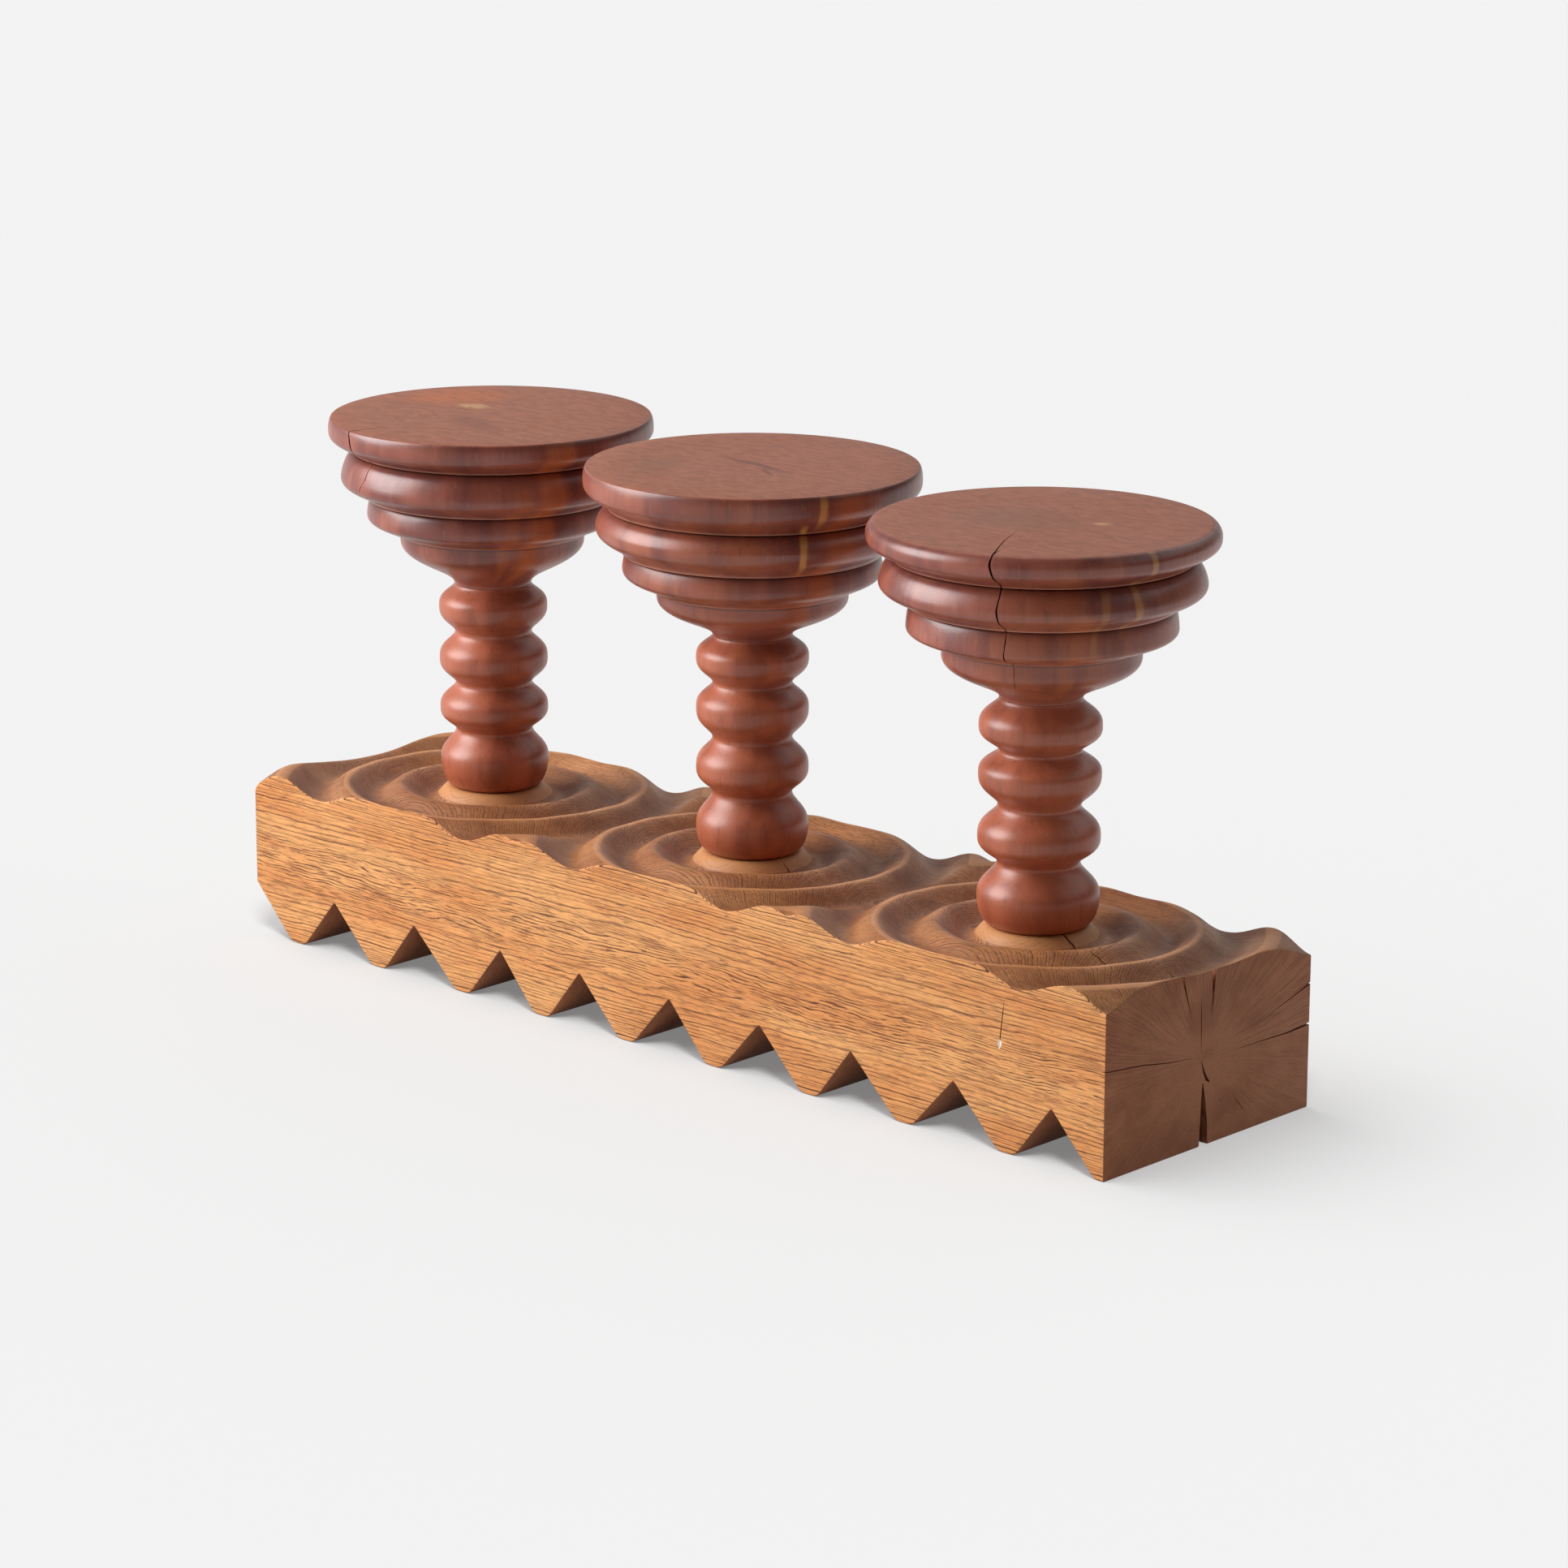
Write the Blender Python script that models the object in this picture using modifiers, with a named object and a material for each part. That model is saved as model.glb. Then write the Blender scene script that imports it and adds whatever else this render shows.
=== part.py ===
"""A long oak beam with a sawtooth underside and a carved top, carrying three turned pedestal seats.

Metres, +Z up, +X along the beam, the front of the bench faces -Y. The floor is z = 0.
"""

import math

import bmesh
import bpy
from mathutils import Vector

# The beam
BEAM_LENGTH = 1.060
BEAM_DEPTH = 0.2756
MOUND_HEIGHT = 0.157
CUT_OVERRUN = 0.004
FIT_GAP = 0.0003
WELD = 0.0001

# Feet and notches, hewn by hand: each place is a share of the pitch, counted from the left end
PITCHES = 9.5
NOTCH_HEIGHT = 0.0508
FOOT_FLAT = 0.019
FOOT_PITCH_SHARES = (0.52, 1.53, 2.56, 3.50, 4.48, 5.46, 6.50, 7.50, 8.54, 9.49)
NOTCH_PITCH_SHARES = (0.00, 0.99, 1.98, 3.02, 3.95, 4.97, 5.96, 6.94, 8.00, 8.98)

# Ripples carved round each pedestal: crest and trough radii, and heights above the trough level
RIPPLE_REACH = 0.240
TROUGH_HEIGHT = 0.1430
RIPPLE_RISE = 0.0138
TOP_FALL = 0.0080
RIPPLE_RADIUS_SHARES = (0.258, 0.373, 0.479, 0.590, 0.698, 0.854, 1.000)
RIPPLE_HEIGHT_SHARES = (0.02, 0.96, 0.06, 1.00, 0.00, 1.06, -0.10)
RIPPLE_FACETS = 3
RIPPLE_STEPS = 36

# The shrinkage split from the heart of the beam down through its right end
SPLIT_WIDTH = 0.0100
SPLIT_HEIGHT = 0.060
SPLIT_REACH = 0.090
SPLIT_DEPTH_SHARE = -0.045

# Turned posts
POST_HEIGHT = 0.200
NECK_RADIUS = 0.0362
BEAD_RADIUS = 0.0510
WIDE_BEAD_RADIUS = 0.0534
POST_FOOT_SHARE = 0.76
TENON_RADIUS = 0.0225
FOOT_TENON = 0.060
HEAD_TENON = 0.070
POST_STEPS = 20

# Turned bowl seats
SEAT_HEIGHT = 0.5125
SEAT_RADIUS = 0.152
BOWL_DEPTH = 0.1555
CRISP_EDGE = 0.0030
SOFT_EDGE = 0.0100
LIP_QUIRK = 0.0012
SEAT_STEPS = 28
# The upper three rings: the widest radius of each and the radius of the lip below it
RING_RADIUS_SHARES = ((1.000, 0.785), (0.927, 0.768), (0.766, 0.592))
LAST_RING_RADIUS_SHARE = 0.568
RING_FULLNESS = 1.6
BEAD_FULLNESS = 1.5
BALL_FULLNESS = 1.32
BALL_VALLEY_SHARE = 0.575

# Fox wedges, driven into the sawn ends of both tenons
WEDGE_LENGTH = 0.034
WEDGE_THICK = 0.0060
WEDGE_THIN = 0.0020
WEDGE_WIDTH_SHARE = 0.90

# One row per pedestal: its place along the beam, the ball, beads and neck as shares of the post's height,
# and the depths at which each ring of the bowl is widest and has its lip, as shares of the bowl's depth
PEDESTALS = (
    {"side": "left", "place_share": -0.3220, "bead_radius": BEAD_RADIUS, "edge": CRISP_EDGE,
     "bead_shares": (0.133, 0.379, 0.619, 0.872), "neck_share": 0.981,
     "ring_shares": ((0.073, 0.216), (0.352, 0.484), (0.583, 0.706)), "last_ring_share": 0.745},
    {"side": "centre", "place_share": -0.0038, "bead_radius": BEAD_RADIUS, "edge": CRISP_EDGE,
     "bead_shares": (0.119, 0.392, 0.668, 0.903), "neck_share": 1.007,
     "ring_shares": ((0.073, 0.253), (0.333, 0.499), (0.590, 0.718)), "last_ring_share": 0.762},
    {"side": "right", "place_share": 0.3180, "bead_radius": WIDE_BEAD_RADIUS, "edge": SOFT_EDGE,
     "bead_shares": (0.127, 0.392, 0.673, 0.883), "neck_share": 1.010,
     "ring_shares": ((0.069, 0.214), (0.325, 0.455), (0.583, 0.679)), "last_ring_share": 0.745},
)

OAK = (0.42, 0.21, 0.085)
REDWOOD = (0.155, 0.042, 0.022)
WEDGE_OAK = (0.50, 0.29, 0.13)


def clear_scene():
    for thing in list(bpy.data.objects):
        bpy.data.objects.remove(thing, do_unlink=True)


def new_collection(name):
    group = bpy.data.collections.new(name)
    bpy.context.scene.collection.children.link(group)
    return group


def wood(name, colour, roughness):
    material = bpy.data.materials.new(name)
    material.use_nodes = True
    shader = material.node_tree.nodes["Principled BSDF"]
    shader.inputs["Base Color"].default_value = (*colour, 1)
    shader.inputs["Roughness"].default_value = roughness
    shader.inputs["Metallic"].default_value = 0
    material.diffuse_color = (*colour, 1)
    return material


def mesh_object(name, bm, group, material=None):
    """Turn a bmesh into a named object in a collection."""
    mesh = bpy.data.meshes.new(name)
    bm.to_mesh(mesh)
    bm.free()
    thing = bpy.data.objects.new(name, mesh)
    group.objects.link(thing)
    if material:
        mesh.materials.append(material)
    return thing


def as_cutter(thing):
    thing.hide_render = True
    thing.display_type = "WIRE"
    return thing


def cut(thing, cutter):
    tool = thing.modifiers.new("cut_" + cutter.name, "BOOLEAN")
    tool.operation = "DIFFERENCE"
    tool.solver = "EXACT"
    tool.object = cutter


def swell(fullest, thinnest, fullness, facets):
    """Points after fullest, along an S-shaped curve that leaves and arrives running up the axis."""
    points = []
    for i in range(1, facets + 1):
        along = i / facets
        width = (1 + math.cos(math.pi * along**fullness)) / 2
        radius = thinnest[0] + (fullest[0] - thinnest[0]) * width
        height = fullest[1] + (thinnest[1] - fullest[1]) * along
        points.append((radius, height))
    return points


def quarter_round(start, end, facets, leaves_level):
    """Points after start, along a quarter ellipse that leaves start level, or else running up the axis."""
    points = []
    for i in range(1, facets + 1):
        angle = math.pi / 2 * i / facets
        across, along = math.sin(angle), 1 - math.cos(angle)
        if not leaves_level:
            across, along = along, across
        radius = start[0] + (end[0] - start[0]) * across
        height = start[1] + (end[1] - start[1]) * along
        points.append((radius, height))
    return points


def turned(name, profile, steps, group, material):
    """Spin a profile, listed from the top down its outer side, about the Z axis."""
    bm = bmesh.new()
    spots = [bm.verts.new((radius, 0, height)) for radius, height in profile]
    for upper, lower in zip(spots, spots[1:]):
        bm.edges.new((upper, lower))
    thing = mesh_object(name, bm, group, material)
    lathe = thing.modifiers.new("lathe", "SCREW")
    lathe.axis = "Z"
    lathe.angle = math.tau
    lathe.screw_offset = 0
    lathe.steps = steps
    lathe.render_steps = steps
    lathe.use_merge_vertices = True
    lathe.merge_threshold = WELD
    lathe.use_smooth_shade = True
    return thing


def outlines_solid(name, outlines, thickness, group):
    """One mesh from flat outlines in X and Z, made thick along Y and centred on it."""
    curve = bpy.data.curves.new(name, "CURVE")
    curve.dimensions = "2D"
    curve.fill_mode = "BOTH"
    curve.extrude = thickness / 2
    for outline in outlines:
        spline = curve.splines.new("POLY")
        spline.points.add(len(outline) - 1)
        for point, (x, z) in zip(spline.points, outline):
            point.co = (x, z, 0, 1)
        spline.use_cyclic_u = True
    flat = bpy.data.objects.new(name + "_curve", curve)
    group.objects.link(flat)
    flat.rotation_euler.x = math.pi / 2
    bpy.context.view_layer.update()
    evaluated = flat.evaluated_get(bpy.context.evaluated_depsgraph_get())
    mesh = bpy.data.meshes.new_from_object(evaluated)
    bm = bmesh.new()
    bm.from_mesh(mesh)
    bmesh.ops.transform(bm, matrix=flat.matrix_world, verts=bm.verts)
    bmesh.ops.remove_doubles(bm, verts=bm.verts, dist=WELD)
    bmesh.ops.recalc_face_normals(bm, faces=bm.faces)
    bpy.data.objects.remove(flat, do_unlink=True)
    bpy.data.meshes.remove(mesh)
    return mesh_object(name, bm, group)


def place_on_beam(pedestal):
    return pedestal["place_share"] * BEAM_LENGTH


def carve_stations():
    """Crests and troughs of the ripples as (radius, height), from the mound outward."""
    stations = [(POST_FOOT_SHARE * BEAD_RADIUS + CUT_OVERRUN, MOUND_HEIGHT)]
    for radius_share, height_share in zip(RIPPLE_RADIUS_SHARES, RIPPLE_HEIGHT_SHARES):
        stations.append((radius_share * RIPPLE_REACH, TROUGH_HEIGHT + height_share * RIPPLE_RISE))
    return stations


def carve_profile(cover):
    """The blind mortise, its mound and the carved ripples, from a pedestal's axis out to cover."""
    stations = carve_stations()
    bore = TENON_RADIUS + FIT_GAP
    mortise_floor = MOUND_HEIGHT - FOOT_TENON - FIT_GAP
    profile = [(0, mortise_floor), (bore, mortise_floor), (bore, MOUND_HEIGHT), stations[0]]
    for inner, outer in zip(stations, stations[1:]):
        for i in range(1, RIPPLE_FACETS + 1):
            along = i / RIPPLE_FACETS
            blend = (1 - math.cos(math.pi * along)) / 2
            radius = inner[0] + (outer[0] - inner[0]) * along
            profile.append((radius, inner[1] + (outer[1] - inner[1]) * blend))
    if cover > profile[-1][0]:
        profile.append((cover, profile[-1][1]))
    return profile


def rippled_panel(place, left, right):
    """One pedestal's share of the carved top: spun ripples, sloped to the front, sawn to the beam's plan."""
    half_depth = BEAM_DEPTH / 2
    reach = max(place - left, right - place)
    profile = carve_profile(math.hypot(reach, half_depth) + CUT_OVERRUN)
    bm = bmesh.new()
    spots = [bm.verts.new((place + radius, 0, height)) for radius, height in profile]
    chain = [bm.edges.new(pair) for pair in zip(spots, spots[1:])]
    bmesh.ops.spin(bm, geom=spots + chain, axis=(0, 0, 1), cent=(place, 0, 0), angle=math.tau,
                   steps=RIPPLE_STEPS, use_merge=True)
    bmesh.ops.remove_doubles(bm, verts=bm.verts, dist=WELD)
    mound_edge, first_crest = carve_stations()[0][0], carve_stations()[2][0]
    for vert in bm.verts:
        radius = math.hypot(vert.co.x - place, vert.co.y)
        hold = min(max((radius - mound_edge) / (first_crest - mound_edge), 0), 1)
        vert.co.z -= TOP_FALL * hold * vert.co.y / BEAM_DEPTH
    saws = (((left, 0, 0), (-1, 0, 0)), ((right, 0, 0), (1, 0, 0)),
            ((0, -half_depth, 0), (0, -1, 0)), ((0, half_depth, 0), (0, 1, 0)))
    for point, outward in saws:
        bmesh.ops.bisect_plane(bm, geom=bm.verts[:] + bm.edges[:] + bm.faces[:], dist=WELD,
                               plane_co=point, plane_no=outward, clear_outer=True)
    return bm


def beam_blank():
    """The beam before its notches: three carved panels joined, with straight sides to the floor."""
    places = [place_on_beam(pedestal) for pedestal in PEDESTALS]
    bounds = [-BEAM_LENGTH / 2]
    for near, far in zip(places, places[1:]):
        bounds.append((near + far) / 2)
    bounds.append(BEAM_LENGTH / 2)
    bm = bmesh.new()
    for place, left, right in zip(places, bounds, bounds[1:]):
        panel = rippled_panel(place, left, right)
        mesh = bpy.data.meshes.new("panel")
        panel.to_mesh(mesh)
        panel.free()
        bm.from_mesh(mesh)
        bpy.data.meshes.remove(mesh)
    bmesh.ops.remove_doubles(bm, verts=bm.verts, dist=WELD)
    rim = [edge for edge in bm.edges if edge.is_boundary]
    sides = bmesh.ops.extrude_edge_only(bm, edges=rim)
    floor_edges = [item for item in sides["geom"] if isinstance(item, bmesh.types.BMEdge)]
    for vert in {vert for edge in floor_edges for vert in edge.verts}:
        vert.co.z = 0
    bmesh.ops.holes_fill(bm, edges=floor_edges, sides=0)
    bmesh.ops.recalc_face_normals(bm, faces=bm.faces)
    return bm


def run_on(apex, foot_edge):
    """Where a notch's side, from its apex down to the edge of a foot, has run on below the floor."""
    return foot_edge + (foot_edge - apex) * CUT_OVERRUN / NOTCH_HEIGHT


def notch_outlines():
    """V notches between neighbouring feet, and the half notch under the left end, open below the floor."""
    pitch = BEAM_LENGTH / PITCHES
    left_end = -BEAM_LENGTH / 2
    feet = [left_end + share * pitch for share in FOOT_PITCH_SHARES]
    notches = [left_end + share * pitch for share in NOTCH_PITCH_SHARES]
    outside = left_end - CUT_OVERRUN
    outlines = [[(outside, -CUT_OVERRUN), (run_on(notches[0], feet[0] - FOOT_FLAT / 2), -CUT_OVERRUN),
                 (notches[0], NOTCH_HEIGHT), (outside, NOTCH_HEIGHT)]]
    for before, apex, after in zip(feet, notches[1:], feet[1:]):
        outlines.append([(run_on(apex, before + FOOT_FLAT / 2), -CUT_OVERRUN),
                         (run_on(apex, after - FOOT_FLAT / 2), -CUT_OVERRUN), (apex, NOTCH_HEIGHT)])
    return outlines


def split_cutter(group):
    """A thin three-sided spike: its open base is on the right end, its point is inside the beam."""
    tall = SPLIT_HEIGHT + CUT_OVERRUN
    long = SPLIT_REACH + CUT_OVERRUN
    bm = bmesh.new()
    bmesh.ops.create_cone(bm, cap_ends=True, segments=3, radius1=1, radius2=0, depth=1)
    lowest = min(vert.co.y for vert in bm.verts)
    highest = max(vert.co.y for vert in bm.verts)
    widest = max(vert.co.x for vert in bm.verts)
    for vert in bm.verts:
        inward = long * (vert.co.z + 1 / 2)
        across = SPLIT_WIDTH / 2 * vert.co.x / widest
        height = tall * (vert.co.y - lowest) / (highest - lowest)
        vert.co = Vector((BEAM_LENGTH / 2 + CUT_OVERRUN - inward,
                          SPLIT_DEPTH_SHARE * BEAM_DEPTH + across,
                          height - CUT_OVERRUN))
    bmesh.ops.recalc_face_normals(bm, faces=bm.faces)
    return as_cutter(mesh_object("end_split", bm, group))


def make_beam(parts, cutters, material):
    beam = mesh_object("beam", beam_blank(), parts, material)
    notches = as_cutter(outlines_solid("notches", notch_outlines(), BEAM_DEPTH + 2 * CUT_OVERRUN, cutters))
    for cutter in (notches, split_cutter(cutters)):
        cut(beam, cutter)
    return beam


def post_profile(pedestal):
    """From the top of the head tenon, down the beads and the ball, to the bottom of the foot tenon."""
    bead_radius = pedestal["bead_radius"]
    head = pedestal["neck_share"] * POST_HEIGHT - FIT_GAP
    beads = [(bead_radius, share * POST_HEIGHT) for share in pedestal["bead_shares"]]
    ball = beads[0]
    profile = [(0, head + HEAD_TENON), (TENON_RADIUS, head + HEAD_TENON), (TENON_RADIUS, head),
               (NECK_RADIUS, head)]
    above = (NECK_RADIUS, head)
    for bead in reversed(beads):
        fullness = BALL_FULLNESS if bead is ball else BEAD_FULLNESS
        rise = [bead] + swell(bead, above, fullness, 4)
        profile += list(reversed(rise))[1:]
        if bead is not ball:
            lower = beads[beads.index(bead) - 1]
            above = (NECK_RADIUS, (bead[1] + lower[1]) / 2)
            if lower is ball:
                above = (NECK_RADIUS, lower[1] + (bead[1] - lower[1]) * BALL_VALLEY_SHARE)
            profile += swell(bead, above, BEAD_FULLNESS, 4)
    foot = (POST_FOOT_SHARE * bead_radius, FIT_GAP)
    profile += quarter_round(ball, foot, 4, leaves_level=False)
    profile += [(TENON_RADIUS, FIT_GAP), (TENON_RADIUS, -FOOT_TENON), (0, -FOOT_TENON)]
    return profile


def bowl_profile(pedestal, top, bottom):
    """From the middle of the seat, over its edge, down the four rings, and up into the blind mortise."""
    rings = []
    for radii, depths in zip(RING_RADIUS_SHARES, pedestal["ring_shares"]):
        rings.append([(radius * SEAT_RADIUS, top - depth * BOWL_DEPTH)
                      for radius, depth in zip(radii, depths)])
    flat = (SEAT_RADIUS - pedestal["edge"], top)
    profile = [(0, top), flat] + quarter_round(flat, rings[0][0], 3, leaves_level=True)
    last = (LAST_RING_RADIUS_SHARE * SEAT_RADIUS, top - pedestal["last_ring_share"] * BOWL_DEPTH)
    below = [ring[0] for ring in rings[1:]] + [last]
    for (widest, lip), following in zip(rings, below):
        groove = (lip[0] - LIP_QUIRK, lip[1] - LIP_QUIRK)
        profile += swell(widest, lip, RING_FULLNESS, 4)
        profile.append(groove)
        profile += quarter_round(groove, following, 2, leaves_level=True)
    profile += swell(last, (NECK_RADIUS, bottom), RING_FULLNESS, 5)
    bore = TENON_RADIUS + FIT_GAP
    ceiling = bottom + HEAD_TENON
    return profile + [(bore, bottom), (bore, ceiling), (0, ceiling)]


def wedge_solid(name, thick, thin, length, width, group, material=None):
    """A slim taper along Z: thick at the bottom and thin at the top, centred on its origin."""
    bm = bmesh.new()
    bmesh.ops.create_cube(bm, size=1)
    for vert in bm.verts:
        thickness = thick if vert.co.z < 0 else thin
        vert.co = Vector((vert.co.x * thickness, vert.co.y * width, vert.co.z * length))
    return mesh_object(name, bm, group, material)


def kerf_cutter(name, spot, turn, parent, group):
    """The sawn slot in a tenon's end: the wedge's own shape with the fitting gap all round."""
    kerf = wedge_solid(name, WEDGE_THICK + 2 * FIT_GAP, WEDGE_THIN + 2 * FIT_GAP,
                       WEDGE_LENGTH + 2 * FIT_GAP, 2 * TENON_RADIUS + 2 * CUT_OVERRUN, group)
    settle(kerf, parent, spot, turn)
    return as_cutter(kerf)


def settle(thing, parent, height, turn=0):
    """Put an object on its pedestal's axis at a height above the mound."""
    thing.parent = parent
    thing.location = (0, 0, height)
    thing.rotation_euler.x = turn


def make_pedestal(pedestal, parts, cutters, materials):
    side = pedestal["side"]
    axis = bpy.data.objects.new(side + "_pedestal_axis", None)
    axis.location = (place_on_beam(pedestal), 0, MOUND_HEIGHT)
    parts.objects.link(axis)

    post = turned("post_" + side, post_profile(pedestal), POST_STEPS, parts, materials["post"])
    settle(post, axis, 0)

    underside = pedestal["neck_share"] * POST_HEIGHT
    profile = bowl_profile(pedestal, SEAT_HEIGHT - MOUND_HEIGHT, underside)
    seat = turned("seat_" + side, profile, SEAT_STEPS, parts, materials["seat"])
    settle(seat, axis, 0)

    width = 2 * TENON_RADIUS * WEDGE_WIDTH_SHARE
    foot_spot = WEDGE_LENGTH / 2 - FOOT_TENON
    head_spot = underside - FIT_GAP + HEAD_TENON - WEDGE_LENGTH / 2
    for name, spot, turn in (("foot_wedge_", foot_spot, 0), ("seat_wedge_", head_spot, math.pi)):
        wedge = wedge_solid(name + side, WEDGE_THICK, WEDGE_THIN, WEDGE_LENGTH, width, parts,
                            materials["wedge"])
        settle(wedge, axis, spot, turn)
        cut(post, kerf_cutter(name + side + "_kerf", spot, turn, axis, cutters))


def build():
    clear_scene()
    parts = new_collection("bench")
    cutters = new_collection("cutters")
    materials = {
        "beam": wood("oak_beam", OAK, 0.55),
        "seat": wood("turned_seat", REDWOOD, 0.38),
        "post": wood("turned_post", REDWOOD, 0.36),
        "wedge": wood("oak_wedge", WEDGE_OAK, 0.60),
    }
    make_beam(parts, cutters, materials["beam"])
    for pedestal in PEDESTALS:
        make_pedestal(pedestal, parts, cutters, materials)
    bpy.context.view_layer.update()


build()
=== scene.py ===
import math

import bmesh
import bpy
import numpy as np
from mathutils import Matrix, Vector


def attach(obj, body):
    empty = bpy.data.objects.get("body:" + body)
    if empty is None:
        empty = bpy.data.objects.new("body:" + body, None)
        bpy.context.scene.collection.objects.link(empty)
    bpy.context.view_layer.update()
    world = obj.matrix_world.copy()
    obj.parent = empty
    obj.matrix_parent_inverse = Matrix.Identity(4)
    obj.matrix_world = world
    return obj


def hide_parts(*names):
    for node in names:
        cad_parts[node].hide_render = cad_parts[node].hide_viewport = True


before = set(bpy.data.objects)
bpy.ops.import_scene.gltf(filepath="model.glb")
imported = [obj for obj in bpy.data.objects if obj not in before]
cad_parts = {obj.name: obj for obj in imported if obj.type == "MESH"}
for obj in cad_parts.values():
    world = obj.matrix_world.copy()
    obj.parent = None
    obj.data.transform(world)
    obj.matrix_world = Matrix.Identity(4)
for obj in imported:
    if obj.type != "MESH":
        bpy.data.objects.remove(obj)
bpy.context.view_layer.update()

# The beam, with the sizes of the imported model
BEAM_LENGTH = 1.060
BEAM_DEPTH = 0.2756
MOUND_HEIGHT = 0.157
PITCHES = 9.5
NOTCH_HEIGHT = 0.0508
FOOT_FLAT = 0.019
FOOT_PITCH_SHARES = (0.52, 1.53, 2.56, 3.50, 4.48, 5.46, 6.50, 7.50, 8.54, 9.49)
NOTCH_PITCH_SHARES = (0.00, 0.99, 1.98, 3.02, 3.95, 4.97, 5.96, 6.94, 8.00, 8.98)
MOUND_RADIUS = 0.0428
RIPPLE_REACH = 0.240
TROUGH_HEIGHT = 0.1430
RIPPLE_RISE = 0.0138
TOP_FALL = 0.0080
RIPPLE_RADIUS_SHARES = (0.258, 0.373, 0.479, 0.590, 0.698, 0.854, 1.000)
RIPPLE_HEIGHT_SHARES = (0.02, 0.96, 0.06, 1.00, 0.00, 1.06, -0.10)

# The beam's materials, in the order of their slots
SAWN, CARVED, NOTCH, END = range(4)

# How finely the beam is meshed, and how soft its worked edges are
STEP = 0.0017
SIDE_ROWS = 18
SOLE_ROWS = 40
EDGE_SOFT = 0.0011
END_SOFT = 0.0008
NOTCH_SOFT = 0.0022
FOOT_SOFT = 0.0060
LEFT_ROUND = 0.0090
EASE_FACETS = 4
MEET = 0.006
CORNER_FACETS = 6
CLOSEST_SHARE = 1 / 7
CHECK_STEPS = 14

# The hand-carved unevenness as (size, turns along x, start, turns along y, start)
RING_SWAY = (0.0010, 21, 1.3, 27, 0.7 + math.pi / 2)
TOP_WAVES = ((0.0005, 58, 1.1, 49, 2.2), (0.0003, 103, -2.0, 117, 0.5))

# The mounds are marked in the relief by this much, out to this radius, where the paler painted sheen on
# them goes
MOUND_MARK = 1.6
MOUND_MARK_RADIUS = 0.060
MARK_BLEND = 0.010

# Turned posts and bowls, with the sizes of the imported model
POST_HEIGHT = 0.200
NECK_RADIUS = 0.0362
BEAD_RADIUS = 0.0510
WIDE_BEAD_RADIUS = 0.0534
POST_FOOT_SHARE = 0.76
TENON_RADIUS = 0.0225
FOOT_TENON = 0.060
HEAD_TENON = 0.070
FIT_GAP = 0.0003
SEAT_HEIGHT = 0.5125
SEAT_RADIUS = 0.152
BOWL_DEPTH = 0.1555
CRISP_EDGE = 0.0030
SOFT_EDGE = 0.0100
LIP_RISES = (0.0030, 0.0004, 0.0004)
LIP_QUIRKS = (0.0035, 0.0055, 0.0045)
QUIRK_DROP = 0.0013
FLARE_TURN = 66
RING_RADIUS_SHARES = ((1.000, 0.860), (0.927, 0.776), (0.770, 0.602))
LAST_RING_RADIUS_SHARE = 0.568
RING_FULLNESS = 1.6
LAST_RING_FULLNESS = 1.25
BEAD_FULLNESS = 1.5
BALL_FULLNESS = 1.32
BALL_VALLEY_SHARE = 0.575
PEDESTALS = (
    {"side": "left", "place_share": -0.3220, "bead_radius": BEAD_RADIUS, "edge": CRISP_EDGE,
     "bead_shares": (0.133, 0.379, 0.619, 0.872), "neck_share": 0.981,
     "ring_shares": ((0.073, 0.216), (0.352, 0.484), (0.583, 0.706)), "last_ring_share": 0.745},
    {"side": "centre", "place_share": -0.0038, "bead_radius": BEAD_RADIUS, "edge": CRISP_EDGE,
     "bead_shares": (0.119, 0.392, 0.668, 0.903), "neck_share": 1.007,
     "ring_shares": ((0.073, 0.253), (0.333, 0.499), (0.590, 0.718)), "last_ring_share": 0.762},
    {"side": "right", "place_share": 0.3180, "bead_radius": WIDE_BEAD_RADIUS, "edge": SOFT_EDGE,
     "bead_shares": (0.127, 0.392, 0.673, 0.883), "neck_share": 1.010,
     "ring_shares": ((0.069, 0.214), (0.325, 0.455), (0.583, 0.679)), "last_ring_share": 0.745},
)
POSTS = [pedestal["place_share"] * BEAM_LENGTH for pedestal in PEDESTALS]

# How finely the turned pieces are meshed
SWELL_FACETS = 20
ROUND_FACETS = 12
SEAT_STEPS = 176
POST_STEPS = 120
BORE_STEPS = 48

# Edges sharper than this many degrees stay crisp
BEAM_ARRIS = 32
TURNED_ARRIS = 35

# The fox wedges, for which both tenons are kerfed
WEDGE_LENGTH = 0.034
WEDGE_THICK = 0.0060
WEDGE_THIN = 0.0020
CUT_OVERRUN = 0.004
CHECK_OVERRUN = 0.001

# The heart of the log, as (y, z), which the growth rings, the rays and the drying checks all follow
PITH = (-0.0112, 0.0800)
RING_PITCH = 0.00138
FLAT_PITCH = 0.0030
RAYS = 46.0

# How far the painted highlight on a bowl's lip, the painted shade in the groove under it, and the painted
# shade, partly old oil, on the shoulder below and under the seat's top edge spread
LIP_HIGHLIGHT_SPREAD = 0.0011
GROOVE_SHADE = 0.0018
SHOULDER_SHADE = 0.0075
SHOULDER_DARK = 0.55
TOP_ROLL = 0.0012

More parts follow.
